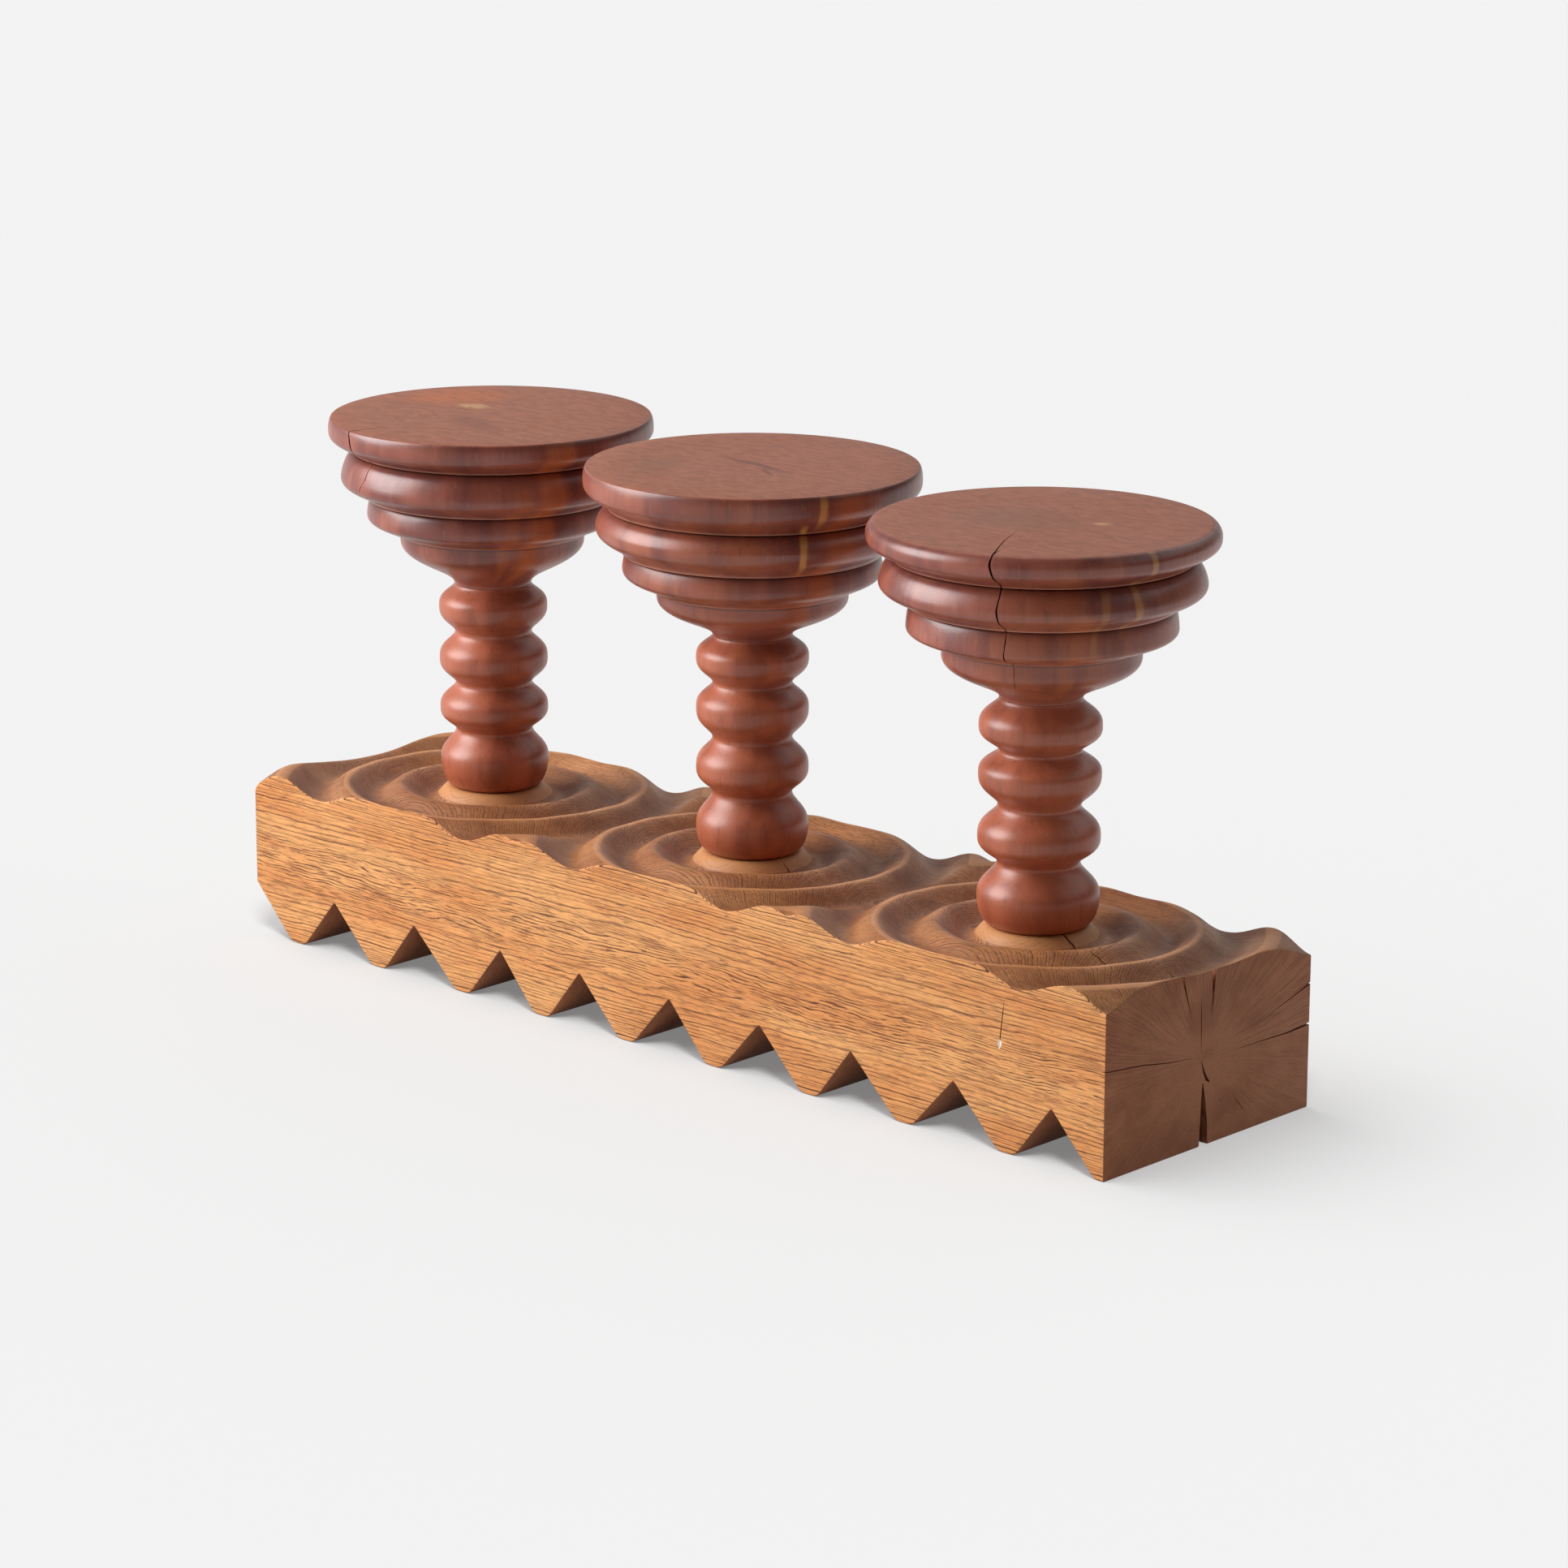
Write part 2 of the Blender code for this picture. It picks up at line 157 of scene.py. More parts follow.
# Light and stage: the levels are those of a white surface
FLOOR_REACH = 30.0
BACKDROP = 0.896
HORIZON = 0.66
SKY = 0.36
FAR_SIDE = 0.16
BACK_LIGHT = 0.70
FLOOR_BOUNCE = 0.265
FLOOR_SEEN = 0.30
FLOOR_LIFT = 0.20
KEY_PLACE = (-3.1, -2.8, 2.45)
KEY_TARGET = (0.0, 0.0, 0.25)
KEY_COLOUR = (1.0, 0.985, 0.995)
KEY_SIZE = 3.9
KEY_POWER = 325.0
FRONT_SUN = 3.50
FRONT_SUN_PLACE = (0.687, -0.727, 1.6)
FRONT_SUN_SPREAD = 16
FLOOR_SUN = 3.95
FLOOR_SUN_PLACE = (-0.52, -0.26, 0.82)
FLOOR_SUN_SPREAD = 64

# The camera, as the photograph was taken: millimetres, metres and degrees
LENS = 120.92
SENSOR = 36
CAMERA_PLACE = (3.1715, -3.3464, 1.4500)
CAMERA_TURN = (75.0478, -0.1680, 43.1871)


class Tree:
    """The node tree of a material or of the world, built from nested calls that return output sockets."""

    def __init__(self, owner):
        owner.use_nodes = True
        self.owner = owner
        self.nodes = owner.node_tree.nodes
        self.links = owner.node_tree.links

    def place(self, kind):
        return self.node("TexCoord").outputs[kind]

    def seen_by(self, *kinds):
        """1 for rays of any of the given kinds."""
        path = self.node("LightPath").outputs
        seen = path[kinds[0]]
        for kind in kinds[1:]:
            seen = self.maths("MAXIMUM", seen, path[kind])
        return seen

    def plug(self, socket, value):
        if isinstance(value, bpy.types.NodeSocket):
            self.links.new(value, socket)
        else:
            socket.default_value = value

    def node(self, kind, *values, **settings):
        """A new node with these settings, its first inputs set or linked."""
        node = self.nodes.new("ShaderNode" + kind)
        for name, setting in settings.items():
            setattr(node, name, setting)
        for socket, value in zip(node.inputs, values):
            self.plug(socket, value)
        return node

    def maths(self, operation, *values, clamp=False):
        return self.node("Math", *values, operation=operation, use_clamp=clamp).outputs[0]

    def times(self, *values):
        product = values[0]
        for value in values[1:]:
            product = self.maths("MULTIPLY", product, value)
        return product

    def plus(self, first, second):
        return self.maths("ADD", first, second)

    def minus(self, first, second):
        return self.maths("SUBTRACT", first, second)

    def vector(self, x, y, z):
        return self.node("CombineXYZ", x, y, z).outputs[0]

    def split(self, vector):
        return self.node("SeparateXYZ", vector).outputs

    def vmaths(self, operation, first, second):
        return self.node("VectorMath", first, second, operation=operation).outputs[0]

    def noise(self, vector, frequency, detail=2.0, rough=0.5, output="Fac"):
        node = self.node("TexNoise", self.vmaths("MULTIPLY", vector, frequency))
        node.inputs["Scale"].default_value = 1.0
        node.inputs["Detail"].default_value = detail
        node.inputs["Roughness"].default_value = rough
        return node.outputs[output]

    def wander(self, vector, frequency, reach, detail=2.0):
        """The same place, moved by a smooth noise by up to about a quarter of the reach."""
        sway = self.noise(vector, frequency, detail, 0.5, "Color")
        sway = self.vmaths("MULTIPLY", self.vmaths("SUBTRACT", sway, (0.5, 0.5, 0.5)), reach)
        return self.vmaths("ADD", vector, sway)

    def speck(self, value):
        node = self.node("TexWhiteNoise", noise_dimensions="1D")
        self.plug(node.inputs["W"], value)
        return node.outputs["Value"]

    def span(self, value, low, high, to_low=0.0, to_high=1.0):
        """From to_low, where the value is low, smoothly to to_high, where it is high."""
        return self.node("MapRange", value, low, high, to_low, to_high,
                         interpolation_type="SMOOTHSTEP").outputs[0]

    def curve(self, value, stops):
        node = self.node("ValToRGB", value)
        ramp = node.color_ramp
        while len(ramp.elements) < len(stops):
            ramp.elements.new(1.0)
        for element, (place, level) in zip(ramp.elements, stops):
            element.position = place
            element.color = (level, level, level, 1)
        return node.outputs[0]

    def mix(self, share, first, second):
        node = self.node("Mix", share, data_type="RGBA")
        self.plug(node.inputs[6], first)
        self.plug(node.inputs[7], second)
        return node.outputs[2]

    def stain(self, colour, value, low, high, share, tint):
        """The colour, stained by the share where the value goes from low to high."""
        return self.mix(self.span(value, low, high, 0.0, share), colour, tint)

    def length(self, first, second):
        return self.maths("SQRT", self.plus(self.times(first, first), self.times(second, second)))

    def bump(self, height, strength, distance):
        node = self.node("Bump")
        node.inputs["Strength"].default_value = strength
        node.inputs["Distance"].default_value = distance
        self.plug(node.inputs["Height"], height)
        return node.outputs[0]

    def attribute(self, name):
        return self.node("Attribute", attribute_name=name).outputs["Fac"]

    def upward(self):
        """1 where the surface faces straight up, 0 where it is turned away by more than a few degrees."""
        return self.span(self.split(self.place("Normal"))[2], 0.90, 0.995)

    def finish(self, colour, roughness, normal, specular):
        shader = self.nodes["Principled BSDF"]
        self.plug(shader.inputs["Base Color"], colour)
        self.plug(shader.inputs["Roughness"], roughness)
        self.plug(shader.inputs["Normal"], normal)
        shader.inputs["Specular IOR Level"].default_value = specular
        return self.owner


def add_object(name, data):
    thing = bpy.data.objects.new(name, data)
    bpy.context.scene.collection.objects.link(thing)
    return thing


def group_of(name, piece):
    group = bpy.data.collections.new(name)
    group.objects.link(piece)
    return group


def srgb(red, green, blue):
    """A display colour from 0 to 255 as the linear colour that the shader takes."""
    levels = []
    for level in (red, green, blue):
        level /= 255
        levels.append(level / 12.92 if level <= 0.04045 else ((level + 0.055) / 1.055) ** 2.4)
    return (*levels, 1.0)


# Colours of the oak: iron stains, the painted highlight on the crests and the painted sheen on the mounds
OAK_STAIN = srgb(160, 88, 50)
OAK_CREST_HIGHLIGHT = srgb(232, 166, 112)
OAK_MOUND_SHEEN = srgb(206, 148, 88)

# Colours of the redwood, from its broad figure to its pores, with the painted bounce light low down, the
# painted highlight on the lips and the painted shade under them
WARM = srgb(172, 94, 56)
PURPLE = srgb(106, 54, 50)
LOW_BOUNCE_RED = srgb(170, 86, 52)
DARK_FIGURE = srgb(92, 48, 40)
LIGHT_FIGURE = srgb(196, 122, 92)
DARK_FLECK = srgb(96, 50, 42)
LIGHT_FLECK = srgb(196, 126, 100)
TOP_DEEP = srgb(148, 85, 58)
TOP_LIGHT = srgb(167, 99, 70)
TICK = srgb(122, 68, 50)
LIP_HIGHLIGHT = srgb(216, 142, 106)
SHADE_AND_OLD_OIL = srgb(78, 34, 30)
PORE = srgb(70, 32, 24)
YELLOW = srgb(214, 150, 78)
ORANGE = srgb(196, 108, 56)
PALE = srgb(206, 160, 112)
UMBER = srgb(104, 56, 42)
OLIVE = srgb(128, 86, 58)


def oak(name, pale, mid, dark, lines=0, rays=0, smears=0, relief=0, roughness=0.55, bump=0.3):
    """Solid oak cut from one log: rings, vessels and rays run through the wood whatever face is cut."""
    tree = Tree(bpy.data.materials.new(name))
    spot = tree.place("Object")
    grain = tree.wander(spot, (1.5, 7, 7), (0, 0.010, 0.010))
    grain = tree.wander(grain, (13, 60, 80), (0, 0.0024, 0.0007))
    grain = tree.wander(grain, (60, 240, 240), (0, 0.0006, 0.0005))
    x, y, z = tree.split(grain)
    across = tree.minus(y, PITH[0])
    up = tree.minus(z, PITH[1])
    radius = tree.length(across, up)

    crowding = tree.noise(tree.vector(radius, 0, 0), (190, 1, 1))
    phase = tree.maths("MULTIPLY_ADD", crowding, 3, tree.maths("DIVIDE", radius, RING_PITCH))
    band = tree.curve(tree.maths("FRACT", phase),
                      ((0, 0), (0.06, 1), (0.20, 0.95), (0.34, 0.10), (1, 0)))
    year = tree.maths("MULTIPLY_ADD", tree.speck(tree.maths("FLOOR", phase)), 0.38, 0.62)
    broken = tree.span(tree.noise(grain, (10, 260, 260), 3, 0.65), 0.36, 0.54, 0.42, 1)
    flat_sawn = tree.times(tree.span(tree.maths("ABSOLUTE", up), 0.010, 0.034, 1, 0),
                           tree.span(tree.maths("ABSOLUTE", across), 0.050, 0.110))
    sway = tree.noise(spot, (8, 60, 34), 3, 0.55)
    flat_phase = tree.maths("MULTIPLY_ADD", sway, 8, tree.maths("DIVIDE", up, FLAT_PITCH))
    flat_band = tree.curve(tree.maths("FRACT", flat_phase),
                           ((0, 0), (0.08, 1), (0.22, 0.9), (0.36, 0.1), (1, 0)))
    flat_broken = tree.span(tree.noise(grain, (24, 330, 330), 2, 0.6), 0.42, 0.52, 0.10, 1)
    ring_lines = tree.times(band, year, broken, tree.minus(1, flat_sawn))
    flat_lines = tree.times(flat_band, flat_broken, flat_sawn)
    ring_lines = tree.maths("MULTIPLY", tree.plus(ring_lines, flat_lines), lines, clamp=True)
    vessels = tree.span(tree.noise(grain, (60, 1100, 1100), 2, 0.6), 0.56, 0.66)
    vessels = tree.times(vessels, lines, 0.60)

    turn = tree.maths("ARCTAN2", across, up)
    fan = tree.vector(tree.times(tree.maths("SINE", turn), RAYS),
                      tree.times(tree.maths("COSINE", turn), RAYS),
                      tree.maths("MULTIPLY_ADD", radius, 5, tree.times(x, 22)))
    streaks = tree.noise(fan, (1, 1, 1), 3, 0.65)
    thin = tree.span(tree.maths("ABSOLUTE", tree.minus(streaks, 0.5)), 0, 0.040, 1, 0)
    broad = tree.span(streaks, 0.40, 0.62)
    heart = tree.span(radius, 0.004, 0.040, 0.25, 1)

    cloud = tree.noise(spot, (5, 17, 23), 3, 0.6)
    colour = tree.mix(tree.span(cloud, 0.35, 0.66), pale, mid)
    patch = tree.span(tree.noise(grain, (30, 150, 210), 4, 0.62), 0.555, 0.625)
    heart_zone = tree.span(tree.maths("ABSOLUTE", up), 0.012, 0.045, 1, 0.15)
    colour = tree.mix(tree.times(patch, heart_zone, smears), colour, OAK_STAIN)
    colour = tree.mix(tree.times(broad, rays, 0.40), colour, mid)
    below = tree.span(up, -0.020, 0.010, 0.45, 1)
    colour = tree.mix(tree.times(thin, heart, rays, below), colour, dark)
    colour = tree.mix(ring_lines, colour, dark)
    colour = tree.mix(vessels, colour, dark)
    silk = tree.noise(grain, (26, 800, 800), 3, 0.65)
    colour = tree.stain(colour, silk, 0.60, 0.32, 0.30, dark)

    # Painted light on the carved top: a painted highlight on the crests and painted shade in the troughs
    if relief:
        height = tree.attribute("relief")
        colour = tree.stain(colour, height, 0.88, 1, relief, OAK_CREST_HIGHLIGHT)
        colour = tree.stain(colour, height, 0, -0.95, relief * 0.45, dark)
        # A paler painted sheen on the mounds
        colour = tree.stain(colour, height, 1.10, 1.60, 0.30, OAK_MOUND_SHEEN)

    hollows = tree.plus(tree.times(ring_lines, -1), tree.times(silk, 0.35))
    hollows = tree.minus(hollows, tree.plus(tree.times(thin, rays, 0.4), vessels))
    gloss = tree.plus(tree.span(cloud, 0.3, 0.7, roughness - 0.05, roughness + 0.05),
                      tree.times(ring_lines, 0.15))
    return tree.finish(colour, gloss, tree.bump(hollows, bump, 0.0006), 0.35)


def redwood(name, place, seed, deep, light, streaks=(), blots=(), warm=0.5, matt=0,
            specular=0.65):
    """Dense red turning wood with upright grain, a matt end-grain top, sapwood streaks and lathe marks.

    A streak is (turn at the rim, turn per metre of radius, half width, share, lowest, highest,
    colour), and a blot on the top is (x, y, half length, half width, turn, share, colour).
    """
    tree = Tree(bpy.data.materials.new(name))
    spot = tree.vmaths("SUBTRACT", tree.place("Object"), (place, 0, 0))
    wood = tree.vmaths("ADD", spot, (seed, seed * 0.7, seed * 1.3))
    wood = tree.wander(wood, (15, 15, 6), (0.030, 0.030, 0), 3)
    height = tree.split(spot)[2]
    top = tree.upward()

    broad = tree.noise(wood, (9, 9, 2))
    panels = tree.noise(wood, (24, 24, 1.5))
    upright = tree.noise(wood, (150, 150, 6), 3, 0.6)
    colour = tree.mix(tree.span(panels, 0.40, 0.60), deep, light)
    flecks = tree.noise(wood, (330, 330, 45), 3, 0.6)
    colour = tree.stain(colour, broad, 0.50, 0.60, warm, WARM)
    colour = tree.stain(colour, panels, 0.50, 0.38, 0.42, PURPLE)
    # Painted warm bounce light: redder lower down the bowl and on the whole post
    colour = tree.stain(colour, height, 0.44, 0.30, 0.35, LOW_BOUNCE_RED)
    colour = tree.stain(colour, upright, 0.45, 0.30, 0.28, DARK_FIGURE)
    colour = tree.stain(colour, upright, 0.55, 0.70, 0.16, LIGHT_FIGURE)
    colour = tree.stain(colour, flecks, 0.38, 0.28, 0.35, DARK_FLECK)
    colour = tree.stain(colour, flecks, 0.62, 0.74, 0.30, LIGHT_FLECK)

    x, y, _ = tree.split(tree.wander(spot, (40, 40, 30), (0.010, 0.010, 0)))
    radius = tree.length(x, y)
    turn = tree.maths("ARCTAN2", y, x)
    for rim_turn, run, half, share, lowest, highest, tint in streaks:
        inward = tree.minus(radius, SEAT_RADIUS)
        line = tree.maths("MULTIPLY_ADD", inward, run, math.radians(rim_turn))
        away = tree.maths("ABSOLUTE", tree.minus(turn, line))
        streak = tree.span(away, half * 0.45, half * 1.3, share, 0)
        ends = tree.times(tree.span(height, lowest - 0.012, lowest + 0.012),
                          tree.span(height, highest - 0.004, highest + 0.004, 1, 0))
        colour = tree.mix(tree.times(streak, ends), colour, tint)

    mottle = tree.noise(wood, (60, 150, 10), 4, 0.65)
    plain = tree.mix(tree.span(mottle, 0.36, 0.64), TOP_DEEP, TOP_LIGHT)
    ticks = tree.noise(wood, (60, 330, 10), 3, 0.7)
    plain = tree.stain(plain, ticks, 0.36, 0.26, 0.40, TICK)
    for blot_x, blot_y, long, wide, blot_turn, share, tint in blots:
        angle = math.radians(blot_turn)
        dx = tree.minus(x, blot_x)
        dy = tree.minus(y, blot_y)
        along = tree.plus(tree.times(dx, math.cos(angle) / long),
                          tree.times(dy, math.sin(angle) / long))
        aside = tree.minus(tree.times(dy, math.cos(angle) / wide),
                           tree.times(dx, math.sin(angle) / wide))
        blot = tree.span(tree.length(along, aside), 0.35, 1.15, share, 0)
        plain = tree.mix(tree.times(blot, tree.span(mottle, 0.36, 0.50, 0.45, 1)), plain, tint)
    colour = tree.mix(top, colour, plain)

    # Painted light of the bowls: a painted highlight on each lip, and painted shade in its groove, on the
    # shoulder below it and under the seat's top edge; on the shoulders it is partly old oil
    lip_light_and_shade = tree.attribute("lip_light_and_shade")
    pores = tree.noise(wood, (950, 950, 60), 2, 0.6)
    colour = tree.stain(colour, lip_light_and_shade, 0.15, 1, 0.45, LIP_HIGHLIGHT)
    colour = tree.stain(colour, lip_light_and_shade, -0.10, -0.9, 0.62, SHADE_AND_OLD_OIL)
    colour = tree.stain(colour, pores, 0.36, 0.24, 0.45, PORE)
    tool = tree.noise(tree.vector(0, 0, height), (1, 1, 1100))
    ripples = tree.noise(spot, (120, 120, 500))
    hills = tree.plus(tree.times(tool, 0.45), tree.times(pores, 0.5))
    hills = tree.plus(hills, tree.times(ripples, 0.5))
    gloss = tree.plus(tree.span(broad, 0.3, 0.7, matt + 0.25, matt + 0.33), tree.times(flecks, 0.12))
    gloss = tree.plus(gloss, tree.times(top, 0.24))
    return tree.finish(colour, gloss, tree.bump(hills, 0.24, 0.0004), specular)


def torn_wood(name, pale, dark):
    """Plain wood with a short grain, for the wedges and for the walls of a check or a knock."""
    tree = Tree(bpy.data.materials.new(name))
    grain = tree.noise(tree.place("Object"), (700, 700, 30), 3, 0.6)
    colour = tree.mix(tree.span(grain, 0.35, 0.65), pale, dark)
    return tree.finish(colour, 0.65, tree.bump(grain, 0.3, 0.0003), 0.3)


def carve_stations():
    """Crests and troughs of the ripples as (radius, height), from the mound outward."""
    stations = [(MOUND_RADIUS, MOUND_HEIGHT)]
    for radius_share, height_share in zip(RIPPLE_RADIUS_SHARES, RIPPLE_HEIGHT_SHARES):
        stations.append((radius_share * RIPPLE_REACH, TROUGH_HEIGHT + height_share * RIPPLE_RISE))
    return stations


def uneven(x, y, size, along, start_x, across, start_y):
    """A gentle wave in x and y, for the hand's unevenness."""
    return size * np.sin(along * x + start_x) * np.sin(across * y + start_y)


def carved_height(x, y):
    """Height of the carved top at arrays of x and y, and its relief: -1 in a trough, 1 on a crest."""
    stations = carve_stations()
    reach = np.stack([np.hypot(x - place, y) for place in POSTS])
    near = reach.min(axis=0)
    radius = near - MEET * np.log(np.exp((near - reach) / MEET).sum(axis=0))
    hold = np.clip((near - stations[0][0]) / (stations[2][0] - stations[0][0]), 0, 1)
    radius = radius + hold * uneven(x, y, *RING_SWAY)
    stops = np.array([station[0] for station in stations])
    levels = np.array([station[1] for station in stations])
    held = np.clip(radius, stops[0], stops[-1])
    which = np.clip(np.searchsorted(stops, held) - 1, 0, len(stops) - 2)
    along = (held - stops[which]) / (stops[which + 1] - stops[which])
    height = levels[which] + (levels[which + 1] - levels[which]) * (1 - np.cos(np.pi * along)) / 2
    relief = 2 * (height - TROUGH_HEIGHT) / RIPPLE_RISE - 1
    relief = np.clip(relief, -1, 1) * np.clip((near - stations[1][0]) / MARK_BLEND, 0, 1)
    relief = relief + MOUND_MARK * np.clip((MOUND_MARK_RADIUS - near) / MARK_BLEND, 0, 1)
    height = height - TOP_FALL * hold * y / BEAM_DEPTH
    for wave in TOP_WAVES:
        height = height + hold * uneven(x, y, *wave)
    inward = np.clip(1 - (x + BEAM_LENGTH / 2) / LEFT_ROUND, 0, 1)
    height = height - LEFT_ROUND * (1 - np.sqrt(1 - inward ** 2))
    return height, relief


def eased_corners(points):
    """The underside with its corners eased, the feet's more than the notches'."""
    eased = [points[0]]
    for before, corner, after in zip(points, points[1:], points[2:]):
        ease = NOTCH_SOFT if corner[1] > 0 else FOOT_SOFT
        ends = []
        for neighbour in (before, after):
            share = min(ease / math.dist(corner, neighbour), 0.45)
            ends.append(tuple(c + (n - c) * share for c, n in zip(corner, neighbour)))
        for i in range(CORNER_FACETS + 1):
            t = i / CORNER_FACETS
            eased.append(tuple((1 - t) ** 2 * a + 2 * t * (1 - t) * c + t * t * b
                               for a, c, b in zip(ends[0], corner, ends[1])))
    eased.append(points[-1])
    return eased


def underside():
    """The saw-tooth underside as (x, z) points from the left end to the right."""
    pitch = BEAM_LENGTH / PITCHES
    left = -BEAM_LENGTH / 2
    points = []
    for notch_share, foot_share in zip(NOTCH_PITCH_SHARES, FOOT_PITCH_SHARES):
        foot = left + foot_share * pitch
        points += [(left + notch_share * pitch, NOTCH_HEIGHT), (foot - FOOT_FLAT / 2, 0.0)]
        points.append((min(foot + FOOT_FLAT / 2, BEAM_LENGTH / 2), 0.0))
    return eased_corners(points)


def section_rows():
    """Round the beam's section from the front foot edge: y, share of the way up, shift up, material."""
    half = BEAM_DEPTH / 2
    flat = BEAM_DEPTH - 2 * EDGE_SOFT
    arc = []
    for i in range(1, EASE_FACETS + 1):
        angle = math.pi / 2 * i / (EASE_FACETS + 1)
        arc.append((EDGE_SOFT * (1 - math.cos(angle)), EDGE_SOFT * (1 - math.sin(angle))))
    sides = [i / SIDE_ROWS for i in range(SIDE_ROWS + 1)]
    count = round(flat / STEP)
    rows = [(-half, share, EDGE_SOFT * (1 - 2 * share), SAWN) for share in sides]
    rows += [(-half + inward, 1.0, -drop, SAWN) for inward, drop in arc]
    rows += [(-half + EDGE_SOFT + flat * i / count, 1.0, 0.0, CARVED) for i in range(count + 1)]
    rows += [(half - inward, 1.0, -drop, SAWN) for inward, drop in reversed(arc)]
    rows += [(half, share, EDGE_SOFT * (1 - 2 * share), SAWN) for share in reversed(sides)]
    rows += [(half - inward, 0.0, drop, NOTCH) for inward, drop in arc]
    rows += [(half - EDGE_SOFT - flat * i / SOLE_ROWS, 0.0, 0.0, NOTCH) for i in range(SOLE_ROWS + 1)]
    rows += [(-half + inward, 0.0, drop, NOTCH) for inward, drop in reversed(arc)]
    return rows


def beam_stations():
    """Places along the beam as (x, inset): even steps, every turn of the underside, and eased ends."""
    count = round(BEAM_LENGTH / STEP)
    even = [-BEAM_LENGTH / 2 + BEAM_LENGTH * i / count for i in range(count + 1)]
    inner = BEAM_LENGTH / 2 - END_SOFT
    closest = STEP * CLOSEST_SHARE
    kept = [-inner]
    for x in sorted(even + [x for x, z in underside()]):
        if x - kept[-1] > closest and inner - x > closest:
            kept.append(x)
    stations = [(x, 0.0) for x in kept + [inner]]
    for i in range(1, EASE_FACETS + 1):
        angle = math.pi / 2 * i / EASE_FACETS
        x = inner + END_SOFT * math.sin(angle)
        inset = END_SOFT * (1 - math.cos(angle))
        stations.append((x, inset))
        stations.insert(0, (-x, inset))
    return stations


def mesh_piece(name, vertices, faces, materials, attribute, values, indices=None):
    """A smooth-shaded object with its materials and one value at each vertex."""
    mesh = bpy.data.meshes.new(name)
    mesh.from_pydata(vertices, [], faces)
    for material in materials:
        mesh.materials.append(material)
    if indices is not None:
        mesh.polygons.foreach_set("material_index", indices)
    mesh.attributes.new(attribute, "FLOAT", "POINT").data.foreach_set("value", values)
    mesh.update()
    return add_object(name, mesh)


def make_beam(materials):
    """The beam as one skin: its section's rows carried along its stations, and closed at both ends."""
    rows = section_rows()
    stations = beam_stations()
    shape = (len(stations), len(rows))
    x = np.broadcast_to(np.array([station[0] for station in stations])[:, None], shape)
    inset = np.array([station[1] for station in stations])[:, None]
    y, share, shift = (np.broadcast_to(np.array([row[i] for row in rows])[None, :], shape)
                       for i in range(3))
    sole = underside()
    low = np.interp(x[:, 0], [point[0] for point in sole], [point[1] for point in sole])[:, None]
    high, relief = carved_height(x, y)
    height = low + share * (high - low) + shift + inset * (1 - 2 * share)
    depth = y * (1 - 2 * inset / BEAM_DEPTH)
    spots = np.stack([x, depth, height], axis=-1).reshape(-1, 3)
    across = len(rows)
    faces, indices = [], []
    for i in range(len(stations) - 1):
        ending = i < EASE_FACETS or i >= len(stations) - 1 - EASE_FACETS
        for j in range(across):
            k = (j + 1) % across
            faces.append((i * across + j, (i + 1) * across + j, (i + 1) * across + k, i * across + k))
            kinds = (rows[j][3], rows[k][3])
            kind = NOTCH if NOTCH in kinds else min(kinds)
            indices.append(END if ending and kind == SAWN else kind)
    last = (len(stations) - 1) * across
    faces.append(tuple(range(across)))
    faces.append(tuple(last + j for j in reversed(range(across))))
    indices += [END, END]
    values = (relief * share).reshape(-1).astype(np.float32)
    return mesh_piece("carved_beam", spots.tolist(), faces, materials, "relief", values, indices)


def cutter_from(name, bm):
    bmesh.ops.recalc_face_normals(bm, faces=bm.faces)
    mesh = bpy.data.meshes.new(name)
    bm.to_mesh(mesh)
    bm.free()
    return add_object(name, mesh)


def sliver(name, stations):
    """A closed three-sided sliver from stations of (left, right, inner) points."""
    bm = bmesh.new()
    rings = [[bm.verts.new(point) for point in station] for station in stations]
    for near, far in zip(rings, rings[1:]):
        for i in range(3):
            j = (i + 1) % 3
            bm.faces.new((near[i], near[j], far[j], far[i]))
    bm.faces.new(reversed(rings[0]))
    bm.faces.new(rings[-1])
    return cutter_from(name, bm)


def bore(name, place, low, high):
    """A round bore for a tenon, on a pedestal's axis."""
    bm = bmesh.new()
    radius = TENON_RADIUS + FIT_GAP
    bmesh.ops.create_cone(bm, cap_ends=True, segments=BORE_STEPS, radius1=radius, radius2=radius,
                          depth=high - low)
    bmesh.ops.translate(bm, verts=bm.verts, vec=(place, 0, (low + high) / 2))
    return cutter_from(name, bm)


def kerf(name, place, sawn_end, inward):
    """The tapered slot for a wedge, from a tenon's sawn end inward, which is 1 for up and -1 for down."""
    bm = bmesh.new()
    bmesh.ops.create_cube(bm, size=1)
    for vert in bm.verts:
        deep = vert.co.z > 0
        thickness = (WEDGE_THIN if deep else WEDGE_THICK) + 2 * FIT_GAP
        reach = WEDGE_LENGTH + FIT_GAP if deep else -FIT_GAP
        vert.co = Vector((place + vert.co.x * thickness, vert.co.y * (2 * TENON_RADIUS + CUT_OVERRUN),
                          sawn_end + inward * reach))
    return cutter_from(name, bm)


def cut_all(piece, cutters, material):
    """Cut every cutter out of a piece, and give the walls of the cuts the given material."""
    for cutter in cutters:
        if not cutter.data.materials:
            cutter.data.materials.append(material)
        tool = piece.modifiers.new(cutter.name, "BOOLEAN")
        tool.operation = "DIFFERENCE"
        tool.solver = "MANIFOLD"
        tool.material_mode = "TRANSFER"
        tool.object = cutter
    bpy.context.view_layer.update()
    evaluated = piece.evaluated_get(bpy.context.evaluated_depsgraph_get())
    mesh = bpy.data.meshes.new_from_object(evaluated)
    piece.modifiers.clear()
    piece.data = mesh
    for cutter in cutters:
        bpy.data.objects.remove(cutter, do_unlink=True)


